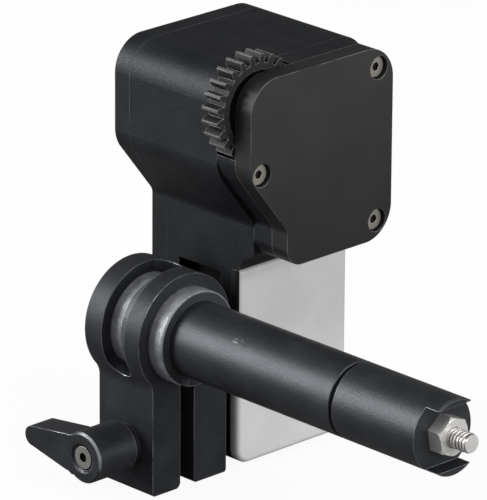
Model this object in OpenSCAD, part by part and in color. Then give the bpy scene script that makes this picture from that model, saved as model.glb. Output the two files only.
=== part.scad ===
// Motorised follow focus unit: a toothed drive gear in a head on an arm, with a
// lever clamp that holds a stub of 15 mm rod. All lengths are in millimetres.
// The origin is on the rod's axis in the middle of the clamp. +Z is up, the rod
// runs along Y, the head's front plate faces -Y, and the lever is on the -X side.

/* [Rod] */
// Diameter of the rod
rod_d = 15; // [14:0.1:16]
// Wall of the rod tube
rod_wall = 2; // [1.2:0.1:2.6]
// How far the rod stands out behind the clamp
rod_behind = 1; // [0:0.5:4]
// From the clamp's front face to the front end of the rod tube
rod_front = 46.3; // [30:0.1:80]
// Width of the groove between the tube and its end piece
groove_w = 1; // [0.5:0.1:2]
// Depth of that groove
groove_deep = 0.7; // [0.3:0.1:1.2]
// Length of the end piece up to its slot's floor
end_len = 21.1; // [14:0.1:26]
// Width of the slot across the end piece
slot_w = 12.2; // [10:0.1:13]
// Depth of the slot, which leaves a lug on each side
slot_deep = 3.3; // [2:0.1:5]
// Diameter of the end stud
stud_d = 4; // [3:0.5:5]
// How far the end stud stands out of the slot's floor
stud_out = 7.6; // [5.5:0.1:10]
// Nut size across flats
nut_af = 7; // [6:0.1:8]
// Height of the nut
nut_h = 3.2; // [2:0.1:4]
// Angle at which the nut came to a stop
nut_turn = 20.5; // [0:0.5:60]
// Length of the plug in the rear end of the tube
plug_len = 7; // [4:0.5:10]

/* [Clamp] */
// Outer diameter of the split sleeve, which is the clamp's bore size
sleeve_d = 19; // [18:0.1:20]
// How far the sleeve stands out in front of the clamp
sleeve_out = 3.7; // [1:0.1:6]
// Width of the slit in the sleeve
sleeve_slit = 1.8; // [1:0.1:3]
// Angle by which the slit is turned from straight down towards the lever
slit_turn = 22; // [0:1:60]
// Width of the clamp along the rod
clamp_w = 15; // [13:0.1:17]
// Wall of the clamp's ring
ring_wall = 2.45; // [1.8:0.05:3]
// Gap between the two legs
leg_gap = 3.6; // [2.5:0.1:4.5]
// How far the gap's middle lies off the rod's axis
gap_off = 0.75; // [0:0.05:1]
// Thickness of the free leg
free_leg_t = 7.2; // [6:0.1:8]
// Thickness of the leg on the arm's side
arm_leg_t = 8.5; // [7:0.1:8.9]
// From the rod's axis down to the ends of the legs
leg_drop = 31.3; // [28:0.1:36]
// Radius of the fillet between the ring and the free leg
leg_fillet = 4; // [2:0.1:6]
// Width of the window in the ring
window_w = 6.3; // [4:0.1:8]
// How far the window's middle lies from the clamp's middle, towards the front
window_off = 0.27; // [0:0.01:1]
// Angle of the centre of the window's first round end, from +X towards +Z
window_from = 82; // [76:1:96]
// Angle of the centre of its other round end
window_to = 208; // [190:1:212]

/* [Lever] */
// From the legs' ends up to the lever's axis
lever_up = 9.05; // [7:0.05:11]
// Radius of the lever's hub
hub_r = 5.1; // [4.6:0.1:6]
// Length of the lever's hub
hub_len = 9.9; // [9:0.1:12]
// Thickness of the washer between the hub and the leg
washer_t = 1.5; // [1:0.1:2]
// From the lever's axis to the centre of its rounded tip
lever_reach = 14.1; // [12:0.1:22]
// Radius of the lever's tip
lever_tip_r = 2; // [1.6:0.1:2.6]
// Half height of the lever where it leaves the hub
lever_root_r = 3.7; // [3:0.1:4.2]
// Thickness of the lever's arm
lever_t = 5.8; // [4.5:0.1:6.5]
// Diameter of the clamp stud that the lever turns
clamp_stud_d = 5; // [4:0.5:5]
// How far the lever is lifted to set it anew
lever_lift = 2.5; // [2:0.1:3]

/* [Head] */
// From the rod's axis up to the head's foot
foot_up = 14.25; // [13.5:0.05:18]
// Height of the head
head_h = 38.8; // [36:0.1:44]
// How far the head reaches past the arm on the lever's side
head_step = 9.75; // [8:0.05:11]
// Radius of the head's corners
head_r = 6.8; // [6:0.1:8]
// Radius of the corner at the foot of the head's front
foot_r = 3.8; // [2.5:0.1:5]
// Radius of the fillet between the sloping side and the arm
neck_fillet = 2.5; // [1.5:0.1:4]
// Angle of the sloping side below the horizontal
slope = 51.8; // [48:0.1:56]
// From the head's foot up to where the sloping side would meet the straight side
slope_rise = 18.7; // [17:0.1:20]
// Thickness of the front plate
plate_t = 4.2; // [3.6:0.1:5]
// Width of the gear frame behind the front plate
band_w = 4.9; // [4.7:0.1:5.5]
// Length of the housing that hangs over in front of the arm
nose = 6.1; // [5:0.1:8]
// Depth of the rear cover
cover_d = 4.6; // [4:0.1:6]
// Wall of the housing and the rear cover
wall = 1.8; // [1.5:0.1:2.2]

/* [Gears] */
// Module of the drive gear's teeth
gear_m = 0.8; // [0.75:0.01:0.82]
// Teeth of the drive gear
gear_teeth = 24; // [22:1:24]
// Teeth of the motor's gear
motor_teeth = 20; // [18:1:22]
// Width of the gears
gear_w = 4.1; // [3.5:0.1:4.3]
// From the head's side to the drive gear's axis
gear_in = 5.9; // [5.5:0.05:6.5]
// From the head's top to the drive gear's axis
gear_down = 6.85; // [6.5:0.05:7.5]
// Room around the gears' tips
gear_room = 0.4; // [0.3:0.05:0.6]
// Diameter of the drive gear's shaft
shaft_d = 3; // [2.5:0.1:3.2]
// Outer diameter of the shaft's bearings
bearing_d = 6; // [5.5:0.1:6.4]
// Width of the shaft's bearings
bearing_w = 2; // [1.6:0.1:2.1]

/* [Arm] */
// Width of the arm
arm_w = 29; // [26:0.1:32]
// Depth of the arm's housing, from the clamp's front face to the rear cover
arm_d = 18.15; // [17:0.05:22]
// From the rod's axis down to the arm's end
arm_drop = 30; // [26:0.1:34]
// Space between the clamp's ring and the arm
arm_gap = 0.2; // [0.1:0.05:0.5]
// Thickness of the arm's front cover
lid_t = 2.2; // [1.8:0.1:3]
// Radius of the lower corners of the arm's front cover
lid_r = 3; // [2:0.1:4]
// Radius of the arm's front cover's front edge
lid_edge = 0.8; // [0.4:0.1:1.2]

/* [Motor] */
// Diameter of the gearbox
gearbox_d = 16; // [14:0.1:17]
// Length of the gearbox
gearbox_len = 10; // [9:0.1:11]
// Diameter of the motor
motor_d = 15.6; // [13:0.1:16.5]
// Length of the motor
motor_len = 12; // [10:0.1:12.2]
// Diameter of the gearbox's output shaft
output_d = 4; // [3:0.1:4.4]

/* [Fits] */
// Radial clearance of what turns or slides
run_fit = 0.05; // [0.03:0.01:0.08]
// Radial clearance of what is pressed or screwed together
set_fit = 0.01; // [0.01:0.01:0.02]
// Clearance between flat sides that face each other
side_fit = 0.1; // [0.05:0.01:0.15]

/* [Hidden] */
$fn = 96;
// Overrun of every cut past the face that it opens
cut = 0.5;
// How far a rounded edge stands proud of the sides that it joins, so that they cross cleanly
edge_play = 0.01;

// Rod
rod_r = rod_d / 2;
tube_r = rod_r - rod_wall;
rod_y0 = -clamp_w / 2 - rod_front;
rod_y1 = clamp_w / 2 + rod_behind;
end_y1 = rod_y0 - groove_w;
floor_y = end_y1 - end_len;
lug_y = floor_y - slot_deep;
stud_r = stud_d / 2;
stud_deep = stud_d * 2;
// The stud's free end is a little thinner, from just outside the nut
stud_collar = 0.2;
stud_tip_step = 0.2;
stud_tip_r = stud_r - stud_tip_step;
stud_tip_edge = 0.5;
spigot_len = rod_r;
plug_socket_r = tube_r / 3;
plug_socket_len = plug_len / 2;

// Clamp
sleeve_r = sleeve_d / 2;
bore_r = sleeve_r + run_fit;
ring_r = bore_r + ring_wall;
half_w = clamp_w / 2;
gap_x0 = gap_off - leg_gap / 2;
gap_x1 = gap_off + leg_gap / 2;
free_x = gap_x0 - free_leg_t;
fixed_x = gap_x1 + arm_leg_t;
leg_r = 1.2;
ring_edge = 0.3;
// The pad that seats on the arm, and the key that stands in the arm's pocket
pad_z0 = -ring_r - leg_r;
key_t = 1.1;
key_y0 = -half_w * 0.6;
key_y1 = half_w * 0.92;
key_z1 = ring_r * 0.2;
pocket_top = ring_r * 0.725;
pocket_deep = 3.2;
clamp_screw_r = 1.5;
clamp_screw_head_r = 2.75;
clamp_screw_head_h = 2;
clamp_screw_y = (key_y0 + key_y1) / 2;
clamp_screw_zs = [pad_z0 + key_t + clamp_screw_r * 1.3, -clamp_screw_r * 2.1];
clamp_screw_x0 = bore_r + ring_edge;
window_y0 = -window_off - window_w / 2;
window_end_r = window_w / 2 + edge_play;

// Lever, along X
lever_z = -leg_drop + lever_up;
hub_x1 = free_x - washer_t - side_fit / 2;
hub_x0 = hub_x1 - hub_len;
clamp_stud_r = clamp_stud_d / 2;
clamp_stud_x1 = fixed_x - ring_edge;
clamp_stud_room = 0.25;
washer_r = hub_r * 0.8;
hub_edge = 0.4;
lever_top_fillet = 1;
lever_low_fillet = 3;
// Serrated head of the clamp stud, and the toothed part of the hub's bore
serration_r = 3.5;
serration_deep = 0.35;
serrations = 16;
grip_len = lever_lift * 0.7;
hub_bore_r = serration_r + run_fit * 2;
stud_head_x0 = hub_x1 - hub_len * 0.26;
stud_head_x1 = hub_x1 - side_fit - ring_edge;
shoulder_t = 0.8;
shoulder_x1 = stud_head_x0 - side_fit;
shoulder_x0 = shoulder_x1 - shoulder_t;
// Silver screw in the hub's outer recess, with the lift spring under its head
cap_r = 2.25;
cap_h = 1.2;
cap_sink = 0.3;
cap_x0 = hub_x0 + cap_sink;
cap_shank_r = 1.4;
cap_room = 0.3;
recess_r = cap_r + cap_room;
hub_recess_rim = 0.45;
hub_recess_r = recess_r + hub_recess_rim;
hub_recess_deep = 0.35;
cap_socket_r = 0.9;
cap_socket_deep = 0.8;
spring_wire_r = 0.2;
spring_r = cap_r - spring_wire_r;
spring_turns = 2;
spring_rings = 8;
spring_sides = 6;
spring_x0 = cap_x0 + cap_h + spring_wire_r;
spring_x1 = shoulder_x0 - lever_lift - side_fit - spring_wire_r;

// Arm and head, as seen from the front
arm_x0 = ring_r + arm_gap;
arm_x1 = arm_x0 + arm_w;
head_x0 = arm_x0 - head_step;
head_x1 = arm_x1;
head_w = head_x1 - head_x0;
arm_z0 = -arm_drop;
arm_r = lid_r;
lid_layers = 4;
foot_z = foot_up;
head_z1 = foot_z + head_h;

// Depths, from the front plate to the rear cover
arm_y0 = -half_w;
lid_y0 = arm_y0 - lid_t;
band_y1 = arm_y0 - nose;
band_y0 = band_y1 - band_w;
plate_y0 = band_y0 - plate_t;
split_y = arm_y0 + arm_d;
back_y = split_y + cover_d;
front_wall = 2.2;
inner_y0 = band_y1 + front_wall;
arm_inner_y0 = arm_y0 + wall;

// The fillet under the head ends where the gear frame begins
chin_r = lid_y0 - band_y1;
chin_z = foot_z - chin_r;

// The sloping side: its direction, its outward normal and a point on it
slope_n = [-sin(slope), -cos(slope)];
slope_p = [head_x0, foot_z + slope_rise];
// The front plate stands back at the sloping side and at the far side
plate_slope_inset = 0.75;
plate_far_inset = 1.35;
plate_x1 = head_x1 - plate_far_inset;

// Gears
gear_x = head_x0 + gear_in;
gear_z = head_z1 - gear_down;
mesh_angle = -45;
pressure_angle = 20;
mesh_play = 0.05;
tooth_play = 0.05;
pitch_r = gear_m * gear_teeth / 2;
tip_r = pitch_r + gear_m;
motor_pitch_r = gear_m * motor_teeth / 2;
mesh_d = pitch_r + motor_pitch_r + mesh_play;
motor_x = gear_x + mesh_d * cos(mesh_angle);
motor_z = gear_z + mesh_d * sin(mesh_angle);
gear_y0 = (band_y0 + band_y1) / 2 - gear_w / 2;
gear_y1 = gear_y0 + gear_w;
gear_turn = 7.2;
// The motor's gear is turned so that its teeth stand in the drive gear's gaps
motor_gear_turn = mesh_angle + 180
    - (gear_turn + 360 / gear_teeth * round((mesh_angle - gear_turn) * gear_teeth / 360) - mesh_angle)
    * gear_teeth / motor_teeth - 180 / motor_teeth;
gear_rim = 1.35;
gear_web_sink = 1.3;
gear_hub_r = shaft_d * 1.1;
shaft_r = shaft_d / 2;
bearing_r = bearing_d / 2;
race_t = 0.6;
bearing_lip = 0.8;
boss_wall = 1.4;
rear_bearing_y0 = band_y1 + front_wall * 0.9;
rear_bearing_y1 = rear_bearing_y0 + bearing_w;
clip_t = 0.5;
clip_rim = 1;
clip_r = shaft_r + clip_rim;

// Gearmotor
output_r = output_d / 2;
gearbox_r = gearbox_d / 2;
motor_r = motor_d / 2;
gearbox_y1 = inner_y0 + gearbox_len;
motor_y1 = gearbox_y1 + motor_len;
gearbox_nose_wall = 1.2;
gearbox_nose_r = output_r + gearbox_nose_wall;
gearbox_screw_r = 1;
gearbox_screw_at = gearbox_r * 0.7;
encoder_t = 0.8;
encoder_post_h = 0.8;
encoder_r = motor_r * 0.8;

// Screws of the front plate, the frame, the rear cover and the board
plate_screw_r = 1;
plate_head_r = 2.05;
plate_head_h = 0.9;
plate_head_sink = 0.95;
plate_sink = plate_head_h + plate_head_sink;
plate_head_room = 0.25;
plate_sink_r = plate_head_r + plate_head_room;
plate_screw_deep = band_w * 0.7;
hex_share = 0.38;
// The screw beside the gear stands below the gear's pocket, and this far inside the sloping side
bank_screw_in = 3.25;
bank_screw_z = gear_z - tip_r - gear_room - plate_screw_r * 0.9;
bank_screw_x = head_x0 + max(head_r * 0.43,
    (bank_screw_in - cos(slope) * (bank_screw_z - slope_p[1])) / sin(slope));
plate_screws_at = [
    [head_x1 - head_r * 0.76, head_z1 - head_r * 0.62],
    [bank_screw_x, bank_screw_z],
    [head_x1 - head_r * 0.76, foot_z + head_r * 0.57]];
frame_screw_r = 1;
frame_head_r = 1.9;
frame_head_h = 1.2;
frame_screws_at = [
    [head_x0 + head_w * 0.52, head_z1 - head_r * 0.5],
    [plate_x1 - head_r * 0.45, foot_z + head_h * 0.45],
    [arm_x0 + foot_r * 0.8, foot_z + foot_r * 0.8],
    [head_x1 - head_r * 1.9, foot_z + head_r * 0.55]];
frame_screw_len = band_w + front_wall - side_fit - frame_head_h;
cover_screw_r = 1;
cover_head_r = 1.9;
cover_head_h = 1.1;
boss_r = 2.3;
boss_len = 8;
cover_screws_at = [
    [head_x1 - wall - boss_r, head_z1 - wall - boss_r],
    [head_x0 + wall + boss_r, head_z1 - wall - boss_r],
    [arm_x1 - wall - boss_r * 0.4, arm_z0 + wall + boss_r * 0.4],
    [arm_x0 + wall + boss_r * 0.4, arm_z0 + wall + boss_r * 0.4],
    [arm_x0 + wall + boss_r * 0.5, foot_z]];
cover_lip = 1.2;
cover_lip_t = 0.9;

// Electronics in the arm
board_t = 1.2;
board_y0 = split_y - cover_lip - board_t * 2.7;
board_x0 = arm_x0 + pocket_deep + wall;
board_x1 = arm_x1 - wall - boss_r * 0.6;
board_z0 = arm_z0 + wall + boss_r * 2;
board_z1 = foot_z - boss_r * 1.6;
board_post_r = 1.8;
board_screw_r = 1;
board_head_r = 1.8;
board_head_h = 1;
board_posts_at = [for (x = [board_x0 + board_post_r, board_x1 - board_post_r])
    for (z = [board_z0 + board_post_r, board_z1 - board_post_r]) [x, z]];
inner_pad_t = 4;
// Window in the arm's front wall, closed by the front cover's lip
window_x0 = arm_x0 + arm_w * 0.27;
window_x1 = arm_x1 - arm_w * 0.27;
window_z0 = arm_z0 + arm_drop * 0.45;
window_z1 = arm_z0 + arm_drop * 1.1;
// Power socket, setting button and lamp in the far side of the arm
socket_y = 0;
socket_z = -arm_drop * 0.47;
socket_r = 4;
socket_flange_r = 5;
socket_flange_t = 1;
socket_bore_r = 2.9;
socket_deep = 4;
socket_len = 8;
socket_pin_r = 0.45;
socket_pins = 4;
button_y = 2.5;
button_z = arm_drop * 0.07;
button_r = 2.6;
button_out = 0.5;
button_stem_r = 1;
button_travel = 0.6;
button_lip_t = 0.8;
button_lip_r = 3.3;
switch_w = 5;
switch_d = 3.4;
lamp_z = arm_drop * 0.3;
lamp_r = 1;
lamp_flange_r = 1.8;
lamp_flange_t = 1.2;

// A solid box between two corners
module box(low, high) {
    translate(low) cube(high - low);
}

// A cylinder along Y at a place [x, z], from y0 to y1
module rod_y(place, r, y0, y1) {
    translate([place[0], y1, place[1]]) rotate([90, 0, 0]) cylinder(r = r, h = y1 - y0);
}

// A cylinder along X at a place [y, z], from x0 to x1
module rod_x(place, r, x0, x1) {
    translate([x0, place[0], place[1]]) rotate([0, 90, 0]) cylinder(r = r, h = x1 - x0);
}

// A cylinder along Y whose front edge is chamfered
module edged_y(place, r, y0, y1, edge) {
    rod_y(place, r, y0 + edge, y1);
    translate([place[0], y0 + edge, place[1]]) rotate([90, 0, 0])
        cylinder(r1 = r, r2 = r - edge, h = edge);
}

// Extrudes an outline drawn in X and Z from y0 to y1
module along_y(y0, y1) {
    translate([0, y1, 0]) rotate([90, 0, 0]) linear_extrude(y1 - y0) children();
}

// Extrudes an outline drawn in Y and Z from x0 to x1
module along_x(x0, x1) {
    translate([x0, 0, 0]) rotate([90, 0, 90]) linear_extrude(x1 - x0) children();
}

// A socket head screw along Y, with its head towards -Y or, when flipped, +Y
module screw_y(place, y, shank_r, shank_len, head_r, head_h, flip = false) {
    translate([place[0], y, place[1]]) mirror([0, flip ? 1 : 0, 0]) difference() {
        union() {
            rod_y([0, 0], head_r, 0, head_h);
            rod_y([0, 0], shank_r, head_h, head_h + shank_len);
        }
        translate([0, head_h * 0.6, 0]) rotate([90, 0, 0])
            cylinder(r = head_r * hex_share * 1.1547, h = head_h, $fn = 6);
    }
}

// Z of the sloping side's line, moved outwards by out, at a given x
function slope_z(x, out) =
    slope_p[1] + (out - slope_n[0] * (x - slope_p[0])) / slope_n[1];

// What is taken off a corner to round it. The centre of the round edge and its
// radius are given, with the directions in which its two sides face.
module round_off(centre, r, n1, n2) {
    out = r + cut;
    difference() {
        polygon([centre, centre + n1 * out, centre + (n1 + n2) * out / (1 + n1 * n2), centre + n2 * out]);
        translate(centre) circle(r = r + edge_play);
    }
}

// Outline of the head from the front. It is drawn in by inset, at the sloping
// side by slope_in and at the far side by far_in, and its foot lies at base_z.
module head_outline(inset, slope_in, far_in, base_z, base_r) {
    x0 = head_x0 + inset;
    x1 = head_x1 - far_in;
    z1 = head_z1 - inset;
    r = head_r - inset;
    neck = arm_x0 + inset;
    low = base_z + inset;
    low_r = base_r - inset;
    far_r = base_z == foot_z ? r : low_r;
    // Centre of the round edge between the straight and the sloping side
    bend = [x0 + r, slope_z(x0 + r, -slope_in - r)];
    // Centre of the fillet between the sloping side and the neck
    fillet_r = neck_fillet + inset;
    fillet = [neck - fillet_r, slope_z(neck - fillet_r, fillet_r - slope_in)];
    difference() {
        polygon([
            [x0, z1], [x1, z1], [x1, low], [neck, low], [neck, fillet[1]], fillet,
            fillet - fillet_r * slope_n, [x0, slope_z(x0, -slope_in)]]);
        translate(fillet) circle(r = fillet_r + edge_play);
        round_off([x0 + r, z1 - r], r, [-1, 0], [0, 1]);
        round_off([x1 - r, z1 - r], r, [1, 0], [0, 1]);
        round_off([x1 - far_r, low + far_r], far_r, [1, 0], [0, -1]);
        round_off([neck + low_r, low + low_r], low_r, [-1, 0], [0, -1]);
        round_off(bend, r, [-1, 0], slope_n);
    }
}

// Outline of the head's front
module front_outline(inset) {
    head_outline(inset, inset, inset, foot_z, foot_r);
}

// Outline of the head together with the arm
module body_outline(inset) {
    head_outline(inset, inset, inset, arm_z0, arm_r);
}

// The chin with its fillet under the head, drawn in Y and Z. It stands out as far as the arm's front cover.
module chin_outline() {
    rear = arm_y0 + wall / 2;
    top = foot_z + wall / 2;
    difference() {
        polygon([[rear, top], [rear, chin_z], [band_y1, chin_z], [band_y1, top]]);
        translate([band_y1, chin_z]) circle(r = chin_r + edge_play);
    }
}

module main_housing() color([0.10, 0.10, 0.11]) {
    difference() {
        union() {
            housing_shell();
            housing_bosses();
        }
        // Bearing seat and shaft hole
        rod_y([gear_x, gear_z], bearing_r + set_fit, rear_bearing_y0, rear_bearing_y1 + cut);
        rod_y([gear_x, gear_z], bearing_r - race_t, band_y1 - cut, rear_bearing_y1);
        // Gearbox nose and screws
        rod_y([motor_x, motor_z], gearbox_nose_r + set_fit, band_y1 - cut, inner_y0 + cut);
        for (s = [-1, 1]) {
            place = [motor_x + s * gearbox_screw_at, motor_z];
            rod_y(place, gearbox_screw_r + side_fit, band_y1 - cut, inner_y0 + cut);
            rod_y(place, frame_head_r + side_fit, band_y1 - cut, band_y1 + frame_head_h);
        }
        // Tapped holes for the frame, the rear cover and the board
        for (place = frame_screws_at)
            rod_y(place, frame_screw_r + set_fit, band_y1 - cut, inner_y0 + cut);
        for (place = cover_screws_at)
            rod_y(place, cover_screw_r + set_fit, split_y - boss_len + wall, split_y + cut);
        for (place = board_posts_at)
            rod_y(place, board_screw_r + set_fit, board_y0 - boss_len, board_y0 + cut);
        // Pocket for the clamp's key, and the clamp's screw holes
        box([arm_x0 - cut, key_y0 - side_fit, pad_z0 - side_fit],
            [arm_x0 + key_t + side_fit, key_y1 + side_fit, pocket_top]);
        box([arm_x0 - cut, key_y0 - side_fit, key_z1 + side_fit],
            [arm_x0 + pocket_deep, key_y1 + side_fit, pocket_top]);
        for (z = clamp_screw_zs)
            rod_x([clamp_screw_y, z], clamp_screw_r + side_fit, arm_x0, arm_x0 + inner_pad_t + cut);
        // Power socket, button and lamp in the far side
        rod_x([socket_y, socket_z], socket_r + set_fit, arm_x1 - wall - cut, arm_x1 + cut);
        rod_x([button_y, button_z], button_r + run_fit, arm_x1 - wall - cut, arm_x1 + cut);
        rod_x([button_y, lamp_z], lamp_r + set_fit, arm_x1 - wall - cut, arm_x1 + cut);
    }
}

// The housing's walls, open at the rear and at the arm's front window
module housing_shell() {
    difference() {
        union() {
            along_y(band_y1, split_y) front_outline(0);
            along_y(arm_y0, split_y) body_outline(0);
            along_x(arm_x0, arm_x1 - head_r) chin_outline();
            // The housing's corner above the chin is left square
            box([arm_x0, band_y1, foot_z],
                [arm_x0 + foot_r + wall, arm_y0 + wall / 2, foot_z + foot_r + wall]);
        }
        along_y(inner_y0, split_y + cut) front_outline(wall);
        along_y(arm_inner_y0, split_y + cut) body_outline(wall);
        box([window_x0, arm_y0 - cut, window_z0], [window_x1, arm_inner_y0 + cut, window_z1]);
    }
}

// Bosses inside the housing
module housing_bosses() {
    rod_y([gear_x, gear_z], bearing_r + boss_wall, band_y1, rear_bearing_y1);
    for (place = cover_screws_at)
        intersection() {
            rod_y(place, boss_r, split_y - boss_len, split_y);
            along_y(split_y - boss_len, split_y) body_outline(wall / 2);
        }
    for (place = board_posts_at)
        rod_y(place, board_post_r, arm_y0 + wall / 2, board_y0);
    // Backing of the clamp's pocket, thicker where the screws' heads seat
    box([arm_x0 + wall / 2, key_y0 - boss_wall, pad_z0 - boss_wall],
        [arm_x0 + key_t + boss_wall, key_y1 + boss_wall, pocket_top + boss_wall]);
    box([arm_x0 + wall / 2, key_y0 - boss_wall, key_z1 - boss_wall],
        [arm_x0 + pocket_deep + boss_wall, key_y1 + boss_wall, pocket_top + boss_wall]);
    box([arm_x0 + wall / 2, clamp_screw_y - inner_pad_t, pad_z0 - boss_wall],
        [arm_x0 + inner_pad_t, clamp_screw_y + inner_pad_t, boss_wall]);
}

module rear_cover() color([0.10, 0.10, 0.11]) {
    lip_in = wall + side_fit;
    edge = wall / 3;
    difference() {
        union() {
            along_y(split_y, back_y - edge) body_outline(0);
            along_y(split_y, back_y) body_outline(edge);
            difference() {
                along_y(split_y - cover_lip, split_y) body_outline(lip_in);
                for (place = cover_screws_at)
                    rod_y(place, boss_r + side_fit, split_y - cover_lip - cut, split_y);
            }
        }
        along_y(split_y - cover_lip - cut, back_y - wall) body_outline(lip_in + cover_lip_t);
        for (place = cover_screws_at) {
            rod_y(place, cover_screw_r + side_fit, split_y - cut, back_y + cut);
            rod_y(place, cover_head_r + side_fit, back_y - cover_head_h, back_y + cut);
        }
    }
    // Columns that the screws pass through
    for (place = cover_screws_at)
        difference() {
            intersection() {
                rod_y(place, boss_r, split_y, back_y - wall / 2);
                along_y(split_y, back_y - wall / 2) body_outline(wall / 2);
            }
            rod_y(place, cover_screw_r + side_fit, split_y - cut, back_y + cut);
            rod_y(place, cover_head_r + side_fit, back_y - cover_head_h, back_y + cut);
        }
}

module rear_cover_screws() color([0.12, 0.12, 0.13]) {
    for (place = cover_screws_at)
        screw_y(place, back_y - side_fit, cover_screw_r,
            cover_d + boss_len / 2 - cover_head_h, cover_head_r, cover_head_h - side_fit, true);
}

// Outline of the front plate and the gear frame
module plate_outline() {
    head_outline(0, plate_slope_inset, plate_far_inset, foot_z, foot_r);
}

// The frame round the gears, between the front plate and the housing
module front_frame() color([0.11, 0.11, 0.12]) {
    difference() {
        along_y(band_y0, band_y1) plate_outline();
        // Round pockets for the two gears. The first one breaks out as the slot.
        rod_y([gear_x, gear_z], tip_r + gear_room, band_y0 - cut, band_y1 + cut);
        rod_y([motor_x, motor_z], motor_pitch_r + gear_m + gear_room, band_y0 - cut, band_y1 + cut);
        for (place = plate_screws_at)
            rod_y(place, plate_screw_r + set_fit, band_y0 - cut, band_y0 + plate_screw_deep + side_fit);
        for (place = frame_screws_at) {
            rod_y(place, frame_screw_r + side_fit, band_y0 - cut, band_y1 + cut);
            rod_y(place, frame_head_r + side_fit, band_y0 - cut, band_y0 + frame_head_h);
        }
    }
}

module frame_screws() color([0.12, 0.12, 0.13]) {
    for (place = frame_screws_at)
        screw_y(place, band_y0, frame_screw_r, frame_screw_len, frame_head_r, frame_head_h);
}

module front_plate() color([0.17, 0.17, 0.17]) {
    difference() {
        along_y(plate_y0, band_y0) plate_outline();
        for (place = plate_screws_at) {
            rod_y(place, plate_screw_r + side_fit, plate_y0 - cut, band_y0 + cut);
            rod_y(place, plate_sink_r, plate_y0 - cut, plate_y0 + plate_sink);
        }
        // Seat of the front bearing
        rod_y([gear_x, gear_z], bearing_r + set_fit, band_y0 - bearing_w, band_y0 + cut);
    }
}

module front_plate_screws() color([0.72, 0.71, 0.68]) {
    for (place = plate_screws_at)
        screw_y(place, plate_y0 + plate_head_sink, plate_screw_r,
            plate_t - plate_sink + plate_screw_deep, plate_head_r, plate_head_h);
}

// Outline of the arm's front cover, drawn in X and Z
module lid_outline(inset) {
    x0 = arm_x0 + inset;
    x1 = arm_x1 - inset;
    z0 = arm_z0 + inset;
    z1 = chin_z - side_fit - inset;
    r = lid_r - inset;
    difference() {
        polygon([[x0, z0], [x0, z1], [x1, z1], [x1, z0]]);
        round_off([x0 + r, z0 + r], r, [-1, 0], [0, -1]);
        round_off([x1 - r, z0 + r], r, [1, 0], [0, -1]);
    }
}

module arm_front_cover() color([0.72, 0.72, 0.73]) {
    // Nested layers round the cover's front edge
    for (i = [0:lid_layers])
        let (a = 90 * i / lid_layers)
        along_y(lid_y0 + lid_edge * (1 - sin(a)), arm_y0) lid_outline(lid_edge * (1 - cos(a)));
    box([window_x0 + side_fit, arm_y0 - lid_t / 2, window_z0 + side_fit],
        [window_x1 - side_fit, arm_y0 + wall * 0.6, window_z1 - side_fit]);
}

// A ball bearing drawn as its two rings and a shield
module bearing(y0) {
    difference() {
        rod_y([gear_x, gear_z], bearing_r, y0, y0 + bearing_w);
        rod_y([gear_x, gear_z], shaft_r + run_fit, y0 - cut, y0 + bearing_w + cut);
        for (y = [y0 - cut, y0 + bearing_w - side_fit])
            difference() {
                rod_y([gear_x, gear_z], bearing_r - race_t, y, y + cut + side_fit);
                rod_y([gear_x, gear_z], shaft_r + race_t, y - cut, y + cut * 3);
            }
    }
}

module front_bearing() color([0.70, 0.71, 0.73]) bearing(band_y0 - bearing_w);

module rear_bearing() color([0.70, 0.71, 0.73]) bearing(rear_bearing_y0);

// Involute of an angle in degrees, given in degrees
function involute(a) = tan(a) * 180 / PI - a;

// Half the angle of a tooth at radius r
function tooth_half(teeth, r, base) =
    90 / teeth - tooth_play / (gear_m * teeth) * 180 / PI
    + involute(pressure_angle) - involute(acos(min(1, base / max(r, base))));

// Outline of a spur gear
module gear_outline(teeth, turn) {
    pitch = gear_m * teeth / 2;
    base = pitch * cos(pressure_angle);
    root = pitch - gear_m * 1.25;
    tip = pitch + gear_m;
    steps = 5;
    radii = [root, for (i = [0:steps]) base + (tip - base) * i / steps];
    points = [for (k = [0:teeth - 1])
        let (middle = turn + 360 * k / teeth)
        for (side = [-1, 1])
            for (i = [0:len(radii) - 1])
                let (r = radii[side < 0 ? i : len(radii) - 1 - i],
                    a = middle + side * tooth_half(teeth, r, base))
                [r * cos(a), r * sin(a)]];
    polygon(points);
}

module drive_gear() color([0.14, 0.14, 0.15]) {
    rim_r = pitch_r - gear_m * 1.25 - gear_rim;
    difference() {
        along_y(gear_y0, gear_y1) translate([gear_x, gear_z]) gear_outline(gear_teeth, gear_turn);
        rod_y([gear_x, gear_z], shaft_r + set_fit, gear_y0 - cut, gear_y1 + cut);
        for (y = [gear_y0 - cut, gear_y1 - gear_web_sink])
            difference() {
                rod_y([gear_x, gear_z], rim_r, y, y + gear_web_sink + cut);
                rod_y([gear_x, gear_z], gear_hub_r, y - cut, y + gear_web_sink + cut * 2);
            }
    }
}

module gear_shaft() color([0.75, 0.76, 0.78])
    rod_y([gear_x, gear_z], shaft_r, band_y0 - bearing_w + side_fit, rear_bearing_y1 + clip_t * 3);

module shaft_clip() color([0.55, 0.56, 0.58]) {
    y0 = rear_bearing_y1 + side_fit;
    difference() {
        rod_y([gear_x, gear_z], clip_r, y0, y0 + clip_t);
        rod_y([gear_x, gear_z], shaft_r + set_fit, y0 - cut, y0 + clip_t + cut);
        box([gear_x - shaft_r * 0.7, y0 - cut, gear_z],
            [gear_x + shaft_r * 0.7, y0 + clip_t + cut, gear_z + clip_r + cut]);
    }
}

module motor_gear() color([0.78, 0.66, 0.38]) {
    difference() {
        along_y(gear_y0, gear_y1) translate([motor_x, motor_z])
            gear_outline(motor_teeth, motor_gear_turn);
        rod_y([motor_x, motor_z], output_r + set_fit, gear_y0 - cut, gear_y1 + cut);
    }
}

module output_shaft() color([0.75, 0.76, 0.78])
    rod_y([motor_x, motor_z], output_r, band_y0 + side_fit, inner_y0 + gearbox_len / 2);

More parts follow.
